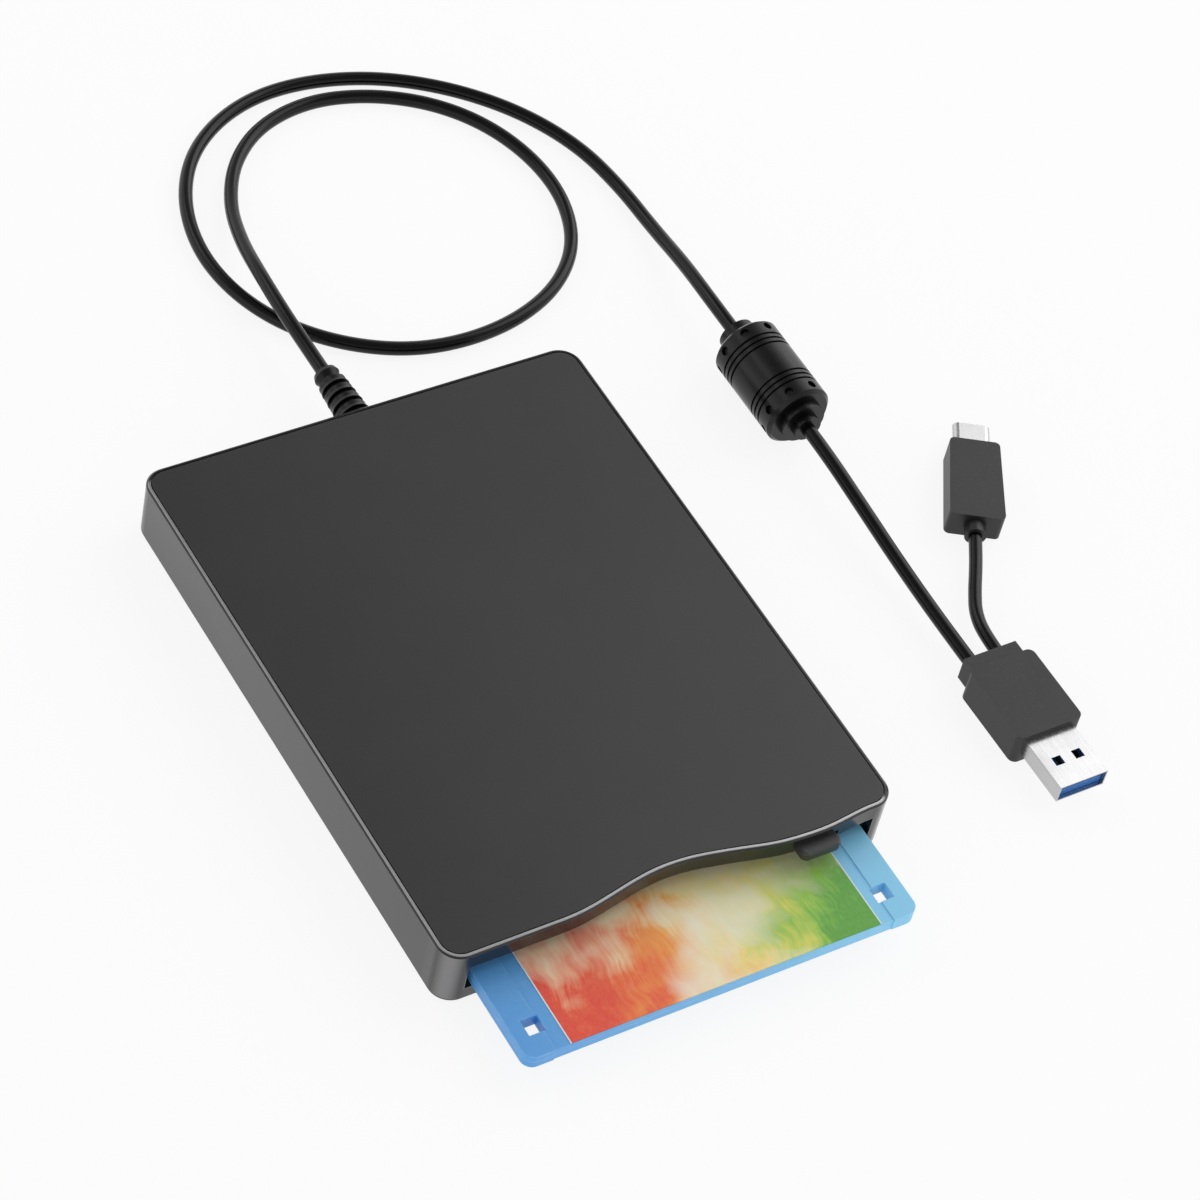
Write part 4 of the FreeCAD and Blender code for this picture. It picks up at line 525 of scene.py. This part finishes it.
def makeDiskBlue(settings):
    # light blue moulding, slightly see-into, with eroded skin and faint flow clouds
    material, tree, shader = newMaterial("diskBlue")
    skin = effect(tree, "mouldGrain", Scale=3500.0, Clouds=45.0)
    edges = effect(tree, "wornEdges", Width=0.0003, Amount=0.6, Breaks=250.0)
    dusty = effect(tree, "fineDust", Amount=0.08)
    # painted light: the blue runs from darker at the left to lighter at the right
    side = remap(tree, parts(tree, places(tree))[0], -settings["halfWidth"], settings["halfWidth"])
    body = mixTones(tree, side, tone(settings["blueShadedLeft"]), tone(settings["blueLitRight"]))
    body = mixTones(tree, times(tree, skin.outputs["Cloud"], 0.12), body, tone("#5a9edd"))
    body = mixTones(tree, edges.outputs["Mask"], body, tone("#bfe0f8"))
    body = mixTones(tree, dusty.outputs["Mask"], body, tone("#d8d5cd"))
    gloss = calc(tree, "MULTIPLY_ADD", skin.outputs["Grain"], 0.12, 0.34, clamp=True)
    feed(tree, shader, colour=body, rough=gloss, soft=0.08, softReach=(0.3, 0.6, 1.0), softScale=0.0012,
         normal=relief(tree, skin.outputs["Grain"], 0.000012))
    return material


def swayed(tree, value, wave, share):
    # a value moved to and fro by a noise about its middle
    return calc(tree, "MULTIPLY_ADD", calc(tree, "SUBTRACT", wave, 0.5), share, value)


def makeLabelWash(settings):
    # a plain washed tint on fibrous paper: warm and green tones across the sheet, bent by noises and strokes
    material, tree, shader = newMaterial("labelWash")
    vector = places(tree)
    x, y = parts(tree, vector)[:2]
    across = calc(tree, "DIVIDE", calc(tree, "SUBTRACT", x, settings["labelLeft"]), settings["labelWidth"])
    along = calc(tree, "DIVIDE", calc(tree, "SUBTRACT", y, settings["labelFront"]), settings["labelLength"])
    slow = noise(tree, vector, 34, 3, 0.5)
    colours = noise(tree, vector, 60, 2, 0.5, "Color")
    drift = addNode(tree, "VectorMath", {0: colours, "Scale": 0.012}, operation="SCALE").outputs[0]
    bent = vectorMath(tree, "ADD", vector, drift)
    quick = noise(tree, bent, 90, 3, 0.55)
    strokes = noise(tree, stretched(tree, bent, (900.0, 70.0, 70.0), turn=(0, 0, 0.5)), 1.0, 3, 0.6)
    run = across
    for wave, share in ((slow, 0.7), (quick, 0.6), (strokes, 0.3)):
        run = swayed(tree, run, wave, share)
    wash = ramp(tree, run, [
        (0.0, tone("#ee4526")), (0.14, tone("#f6692e")), (0.3, tone("#fc9c40")), (0.46, tone("#ffc65c")),
        (0.6, tone("#fbe070")), (0.74, tone("#d6dc5c")), (0.88, tone("#8cc83e")), (1.0, tone("#58a82c"))])
    back = swayed(tree, swayed(tree, along, quick, 0.9), strokes, 0.25)
    wash = mixTones(tree, remap(tree, back, 0.2, 0.5, 0.0, 0.85), wash, tone("#fbecc8"))
    pale = remap(tree, noise(tree, bent, 48, 3, 0.5), 0.54, 0.72)
    wash = mixTones(tree, times(tree, pale, 0.7), wash, tone("#fdf8e8"))
    shadowed = remap(tree, along, 0.42, 0.62, 0.0, 0.35)
    wash = mixTones(tree, shadowed, wash, tone("#c9a982"), "MULTIPLY")
    fibres = noise(tree, stretched(tree, vector, (2600.0, 900.0, 900.0)), 1.0, 3, 0.7)
    wash = mixTones(tree, times(tree, remap(tree, fibres, 0.4, 0.65), 0.05), wash, tone("#fffaf0"))
    sideways = calc(tree, "ABSOLUTE", calc(tree, "SUBTRACT", across, 0.5))
    border = calc(tree, "GREATER_THAN", sideways, settings["labelBorder"])
    wash = mixTones(tree, border, wash, tone("#e9f2f6"))
    feed(tree, shader, colour=wash, rough=calc(tree, "MULTIPLY_ADD", fibres, 0.15, 0.38), coat=0.15,
         coatRough=0.3, normal=relief(tree, fibres, 0.000004))
    return material


def makeMediaFilm(settings):
    # dark brown coated film with a fine ring polish and a paler band where the heads run
    material, tree, shader = newMaterial("mediaFilm")
    rings = effect(tree, "turnedRings", Centre=axes["disk"], Pitch=0.00024)
    skin = effect(tree, "mouldGrain", Scale=5000.0, Clouds=50.0)
    run = band(tree, rings.outputs["Reach"], settings["headsInner"], settings["headsOuter"],
               settings["headsFade"])
    body = mixTones(tree, skin.outputs["Cloud"], tone("#2b211b"), tone("#352820"))
    body = mixTones(tree, times(tree, run, 0.25), body, tone("#4a3a2e"))
    gloss = calc(tree, "MULTIPLY_ADD", rings.outputs["Height"], 0.08, 0.18)
    feed(tree, shader, colour=body, rough=gloss, normal=relief(tree, rings.outputs["Height"], 0.0000015))
    return material


def makeLinerCloth():
    # napped cleaning cloth: crossed fibres with loose lint
    material, tree, shader = newMaterial("linerCloth")
    vector = places(tree)
    one = noise(tree, stretched(tree, vector, (6000.0, 700.0, 700.0), turn=(0, 0, 0.5)), 1.0, 3)
    two = noise(tree, stretched(tree, vector, (700.0, 6000.0, 700.0), turn=(0, 0, 0.3)), 1.0, 3)
    nap = calc(tree, "MAXIMUM", one, two)
    feed(tree, shader, colour=mixTones(tree, remap(tree, nap, 0.45, 0.7), tone("#cfccc4"), tone("#f2f0ea")),
         rough=calc(tree, "MULTIPLY_ADD", nap, 0.15, 0.8), sheen=0.4, normal=relief(tree, nap, 0.00003))
    return material


def turnedMetal(name, colour, second, centre, pitch=0.00025, rough=0.22):
    # lathe-turned face: rings round the axis in height and gloss, clouded by handling
    material, tree, shader = newMaterial(name)
    rings = effect(tree, "turnedRings", Centre=centre, Pitch=pitch)
    skin = effect(tree, "mouldGrain", Scale=2500.0, Clouds=120.0)
    edges = effect(tree, "wornEdges", Width=0.0002, Amount=0.4)
    body = mixTones(tree, skin.outputs["Cloud"], tone(colour), tone(second))
    body = mixTones(tree, edges.outputs["Mask"], body, tone("#f0efec"))
    gloss = calc(tree, "MULTIPLY_ADD", rings.outputs["Height"], 0.1, rough)
    gloss = calc(tree, "MULTIPLY_ADD", skin.outputs["Cloud"], 0.08, gloss)
    feed(tree, shader, colour=body, metal=1.0, rough=gloss,
         normal=relief(tree, rings.outputs["Height"], 0.000004))
    return material


# Drive parts

def makeBoardGreen():
    # solder mask over copper tracks: tracks are a maze of stepped lines, with plated holes
    material, tree, shader = newMaterial("boardGreen")
    vector = places(tree)
    squares = addNode(tree, "TexVoronoi", {"Vector": vector, "Scale": 420.0, "Randomness": 0.35},
                      feature="DISTANCE_TO_EDGE", distance="EUCLIDEAN")
    tracks = remap(tree, squares.outputs["Distance"], 0.16, 0.1)
    holes = addNode(tree, "TexVoronoi", {"Vector": vector, "Scale": 260.0, "Randomness": 0.6}, feature="F1")
    plated = remap(tree, holes.outputs["Distance"], 0.14, 0.11)
    skin = effect(tree, "mouldGrain", Scale=3000.0, Clouds=80.0)
    body = mixTones(tree, skin.outputs["Cloud"], tone("#12502f"), tone("#0e4528"))
    body = mixTones(tree, tracks, body, tone("#1f7042"))
    body = mixTones(tree, plated, body, tone("#cdb27a"))
    gloss = calc(tree, "MULTIPLY_ADD", skin.outputs["Cloud"], 0.1, 0.25)
    feed(tree, shader, colour=body, rough=gloss, metal=plated,
         normal=relief(tree, calc(tree, "MAXIMUM", tracks, plated), 0.00003))
    return material


def makeThreadSteel():
    # ground lead screw: a helix in height and in colour, from the angle round its axis and the way along it,
    # with painted shade in the thread's roots and a painted highlight on its crests
    material, tree, shader = newMaterial("threadSteel")
    x, y, z = parts(tree, vectorMath(tree, "SUBTRACT", places(tree), axes["screw"]))
    angle = calc(tree, "ARCTAN2", z, x)
    turns = calc(tree, "MULTIPLY_ADD", y, 2 * math.pi / screwPitch, angle)
    threadHeightAndShade = calc(tree, "MULTIPLY_ADD", calc(tree, "SINE", turns), 0.5, 0.5)
    skin = effect(tree, "mouldGrain", Scale=2500.0, Clouds=150.0)
    body = mixTones(tree, threadHeightAndShade, tone("#77777a"), tone("#c9c9cb"))
    gloss = calc(tree, "MULTIPLY_ADD", skin.outputs["Cloud"], 0.1, 0.2)
    feed(tree, shader, colour=body, metal=1.0, rough=gloss, normal=relief(tree, threadHeightAndShade, 0.0003))
    return material


coil = {
    "inner": 0.0062,              # reach of the windings from the spindle's axis
    "outer": 0.0132,
    "fade": 0.0004,
    "wire": 0.00035,
}


def makeCoilCopper(settings):
    # enamelled wire laid side by side over a dark core, with painted shade between the turns and a painted
    # highlight along their tops
    material, tree, shader = newMaterial("coilCopper")
    rings = effect(tree, "turnedRings", Centre=axes["spindle"], Pitch=settings["wire"])
    wound = band(tree, rings.outputs["Reach"], settings["inner"], settings["outer"], settings["fade"])
    skin = effect(tree, "mouldGrain", Scale=2500.0, Clouds=200.0)
    # painted shade between the turns and painted highlight along their tops
    wire = mixTones(tree, rings.outputs["Height"], tone("#7a3c1c"), tone("#d08a52"))
    body = mixTones(tree, wound, tone("#55565a"), wire)
    gloss = calc(tree, "MULTIPLY_ADD", skin.outputs["Cloud"], 0.12, 0.25)
    feed(tree, shader, colour=body, metal=0.9, rough=gloss,
         normal=relief(tree, times(tree, rings.outputs["Height"], wound), 0.00012))
    return material


# Cord and what is on it

def glossBlack(name, colour, second, rough, bump, scale, level):
    # dark flexible vinyl or lacquer: shallow orange-peel, soft clouds of gloss and a trace of dust
    material, tree, shader = newMaterial(name)
    peel = noise(tree, places(tree), scale, 2, 0.5)
    skin = effect(tree, "mouldGrain", Scale=5000.0, Clouds=70.0)
    dusty = effect(tree, "fineDust", Amount=0.03)
    body = mixTones(tree, skin.outputs["Cloud"], tone(colour), tone(second))
    body = mixTones(tree, dusty.outputs["Mask"], body, tone("#6b6964"))
    gloss = calc(tree, "MULTIPLY_ADD", skin.outputs["Cloud"], 0.06, rough)
    gloss = calc(tree, "MULTIPLY_ADD", dusty.outputs["Mask"], 0.3, gloss, clamp=True)
    feed(tree, shader, colour=body, rough=gloss, level=level, normal=relief(tree, peel, bump))
    return material


plastics = {
    "casingBase": ("#262627", "#2c2c2d", dict(rough=0.55, grain=1800.0, depth=0.00003)),
    "footRubber": ("#1c1c1c", "#242424", dict(rough=0.75, grain=1500.0, depth=0.00004, dust=0.3)),
    "chipBlack": ("#232325", "#2a2a2c", dict(rough=0.5, grain=5000.0, worn=0.1)),
    "socketWhite": ("#e4e1d6", "#dcd8cb", dict(rough=0.4, grain=3000.0)),
    "carriagePlastic": ("#333436", "#3c3d3f", dict(rough=0.45, grain=2600.0)),
    "headCeramic": ("#d8d6d0", "#c9c6bf", dict(rough=0.18, grain=6000.0, depth=0.000002)),
    "buttonPlastic": ("#3b3b3c", "#373738", dict(rough=0.4, grain=4500.0, depth=0.000012, worn=0.35,
                                                 dust=0.05)),
    "blockPlastic": ("#e2e0d8", "#d6d3c8", dict(rough=0.4)),
    "plugPlastic": ("#19191a", "#1d1d1e", dict(grain=3800.0, depth=0.000003, worn=0.0, dust=0.04)),
    "tongueBlue": ("#2f78c8", "#276cbb", dict(rough=0.35)),
    "tongueBlack": ("#141415", "#1b1b1c", dict(rough=0.4)),
}
metals = {
    "shutterSteel": ("#c9cacb", "#bcbdbe", dict(rough=0.26, stretch=(2500.0, 30.0, 2500.0))),
    "frameSteel": ("#b0b3b1", "#a0a5a2", dict(rough=0.34, stretch=(600.0, 600.0, 600.0))),
    "rodSteel": ("#d4d4d4", "#c8c8c8", dict(rough=0.14, stretch=(2500.0, 60.0, 2500.0))),
    "stepperSteel": ("#a9abac", "#9a9c9e", dict(stretch=(900.0, 60.0, 900.0))),
    "bearingBrass": ("#b9965a", "#a58148", dict(rough=0.35, stretch=(900.0, 900.0, 900.0))),
    "contactGold": ("#e0bd6a", "#d4ad57", dict(rough=0.18, stretch=(2500.0, 100.0, 2500.0))),
    "plugSteel": ("#bebebf", "#b9b9ba", dict(rough=0.24, stretch=(2500.0, 60.0, 2500.0), worn=0.0)),
}
darks = {
    "cordJacket": ("#050505", "#080808", dict(rough=0.18, bump=0.000005, scale=900.0, level=0.26)),
    "reliefRubber": ("#060606", "#0a0a0a", dict(rough=0.28, bump=0.000006, scale=1400.0, level=0.3)),
    "barrelBlack": ("#050505", "#080808", dict(rough=0.24, bump=0.000003, scale=700.0, level=0.32)),
}
turned = {
    "screwBlack": ("#3a3a3c", "#2e2e30", dict(centre=axes["caseScrew"], pitch=0.0004, rough=0.35)),
    "hubSteel": ("#c6c6c4", "#b4b4b2", dict(centre=axes["disk"])),
    "rotorSteel": ("#bdbdbb", "#a9a9a7", dict(centre=axes["spindle"], pitch=0.0003)),
}
materials = {
    "casingShell": makeCasingShell(casing),
    "casingPanel": makeCasingPanel(casing),
    "diskBlue": makeDiskBlue(disk),
    "labelWash": makeLabelWash(disk),
    "mediaFilm": makeMediaFilm(disk),
    "linerCloth": makeLinerCloth(),
    "threadSteel": makeThreadSteel(),
    "coilCopper": makeCoilCopper(coil),
    "boardGreen": makeBoardGreen(),
}
for make, table in ((plastic, plastics), (metal, metals), (glossBlack, darks), (turnedMetal, turned)):
    for name, (colour, second, settings) in table.items():
        materials[name] = make(name, colour, second, **settings)
print("materials made:", len(materials))

nodeFinishes = {
    "casingShell": ["top_cover"],
    "casingPanel": ["top_panel"],
    "casingBase": ["bottom_cover"],
    "footRubber": ["feet"],
    "screwBlack": ["case_screws"],
    "diskBlue": ["disk_lower_shell", "disk_upper_shell"],
    "labelWash": ["disk_label"],
    "mediaFilm": ["disk_media"],
    "linerCloth": ["disk_liners"],
    "hubSteel": ["disk_hub"],
    "shutterSteel": ["disk_shutter"],
    "rotorSteel": ["spindle_rotor"],
    "frameSteel": ["drive_chassis", "stepper_bracket", "disk_cradle", "eject_slider", "upper_head_arm"],
    "rodSteel": ["guide_rods", "arm_hinge_pin", "spindle_shaft", "drive_pin", "lever_rivet"],
    "threadSteel": ["lead_screw"],
    "stepperSteel": ["stepper_motor"],
    "bearingBrass": ["spindle_bearing"],
    "contactGold": ["plug_contacts"],
    "coilCopper": ["stator"],
    "boardGreen": ["control_board", "motor_board"],
    "chipBlack": ["board_chips"],
    "socketWhite": ["cord_socket"],
    "carriagePlastic": ["head_carriage", "shutter_lever"],
    "headCeramic": ["lower_head", "upper_head"],
    "buttonPlastic": ["eject_button"],
    "blockPlastic": ["ejector_block"],
    "cordJacket": ["cord", "plug_cord", "c_plug_cord"],
    "reliefRubber": ["strain_relief"],
    "barrelBlack": ["noise_filter", "filter_collars"],
    "plugPlastic": ["plug_body", "c_plug_body"],
    "plugSteel": ["plug_shell", "c_plug_shell"],
    "tongueBlue": ["plug_tongue"],
    "tongueBlack": ["c_plug_tongue"],
}


def dress(obj, material):
    obj.data.materials.clear()
    obj.data.materials.append(material)


for finish, names in nodeFinishes.items():
    for name in names:
        dress(cadNodes[name], materials[finish])
for cord in cords:
    dress(cord, materials["cordJacket"])
print("nodes dressed:", sum(len(names) for names in nodeFinishes.values()), "of", len(cadNodes))

# Floor and light

studio = {
    "floorSize": 4.0,
    "floorPoints": 9,             # along each side
    "floorLevel": -0.00003,
    "floorTone": "#ffffff",
    "floorLift": 0.88,            # share of plain white that camera and mirror rays see in the floor
    "skyLow": 1.4,
    "skyHigh": 0.28,
    "skyFade": (0.15, 0.75),      # shares of the way up, from the low radiance to the high one
    "softboxes": [                # place, aim, width and height in metres, radiance
        ("keySoftbox", (1.46, 0.3, 1.26), (0.05, 0.0, 0.0), (1.6, 1.6), 1.8),
        ("backSoftbox", (-0.5, 1.3, 1.2), (0.0, 0.0, 0.0), (0.9, 0.6), 1.5),
    ],
}


def seenRays(tree):
    path = addNode(tree, "LightPath")
    seen = calc(tree, "MAXIMUM", path.outputs["Is Camera Ray"], path.outputs["Is Glossy Ray"])
    return calc(tree, "MAXIMUM", seen, path.outputs["Is Transmission Ray"])


def makeFloor(settings):
    half, count = settings["floorSize"] / 2, settings["floorPoints"]
    ways = np.linspace(-half, half, count)
    x, y = np.meshgrid(ways, ways)
    corners = np.stack([x.ravel(), y.ravel(), np.full(x.size, settings["floorLevel"])], axis=1)
    index = np.arange(count ** 2).reshape(count, count)
    faces = np.stack([index[:-1, :-1], index[:-1, 1:], index[1:, 1:], index[1:, :-1]], axis=-1).reshape(-1, 4)
    mesh = bpy.data.meshes.new("floor")
    mesh.from_pydata(corners.tolist(), [], faces.tolist())
    floor = bpy.data.objects.new("floor", mesh)
    collection.objects.link(floor)
    material, tree, shader = newMaterial("floorPaper")
    feed(tree, shader, colour=tone(settings["floorTone"]), rough=0.9, level=0.1)
    white = addNode(tree, "Emission", {"Color": (1, 1, 1, 1), "Strength": 1.0})
    share = times(tree, seenRays(tree), settings["floorLift"])
    both = addNode(tree, "MixShader", {0: share, 1: shader.outputs[0], 2: white.outputs[0]})
    tree.links.new(both.outputs[0], tree.nodes["Material Output"].inputs["Surface"])
    dress(floor, material)


def makeSky(settings):
    # even studio room: bright at the sides, dimmer overhead, plain white where the camera sees past the floor
    world = bpy.data.worlds.new("room")
    bpy.context.scene.world = world
    world.use_nodes = True
    tree = world.node_tree
    height = parts(tree, addNode(tree, "TexCoord").outputs["Generated"])[2]
    level = remap(tree, height, *settings["skyFade"], settings["skyLow"], settings["skyHigh"])
    path = addNode(tree, "LightPath")
    level = addNode(tree, "Mix", {0: path.outputs["Is Camera Ray"], 2: level, 3: 1.0}, data_type="FLOAT")
    tree.links.new(level.outputs[0], tree.nodes["Background"].inputs["Strength"])
    tree.nodes["Background"].inputs["Color"].default_value = (1, 1, 1, 1)


def makeSoftbox(name, place, aim, extent, radiance):
    data = bpy.data.lights.new(name, "AREA")
    data.shape = "RECTANGLE"
    data.size, data.size_y = extent
    data.energy = radiance * math.pi * extent[0] * extent[1]
    lamp = bpy.data.objects.new(name, data)
    back = np.array(place) - np.array(aim)
    back /= np.linalg.norm(back)
    right = np.cross([0, 0, 1], back)
    right /= np.linalg.norm(right)
    pose = np.eye(4)
    pose[:3] = np.stack([right, np.cross(back, right), back, place], axis=1)
    lamp.matrix_world = [list(row) for row in pose.T]
    collection.objects.link(lamp)


makeFloor(studio)
makeSky(studio)
for softbox in studio["softboxes"]:
    makeSoftbox(*softbox)
bpy.context.scene.view_settings.view_transform = "Standard"
print("studio lit")
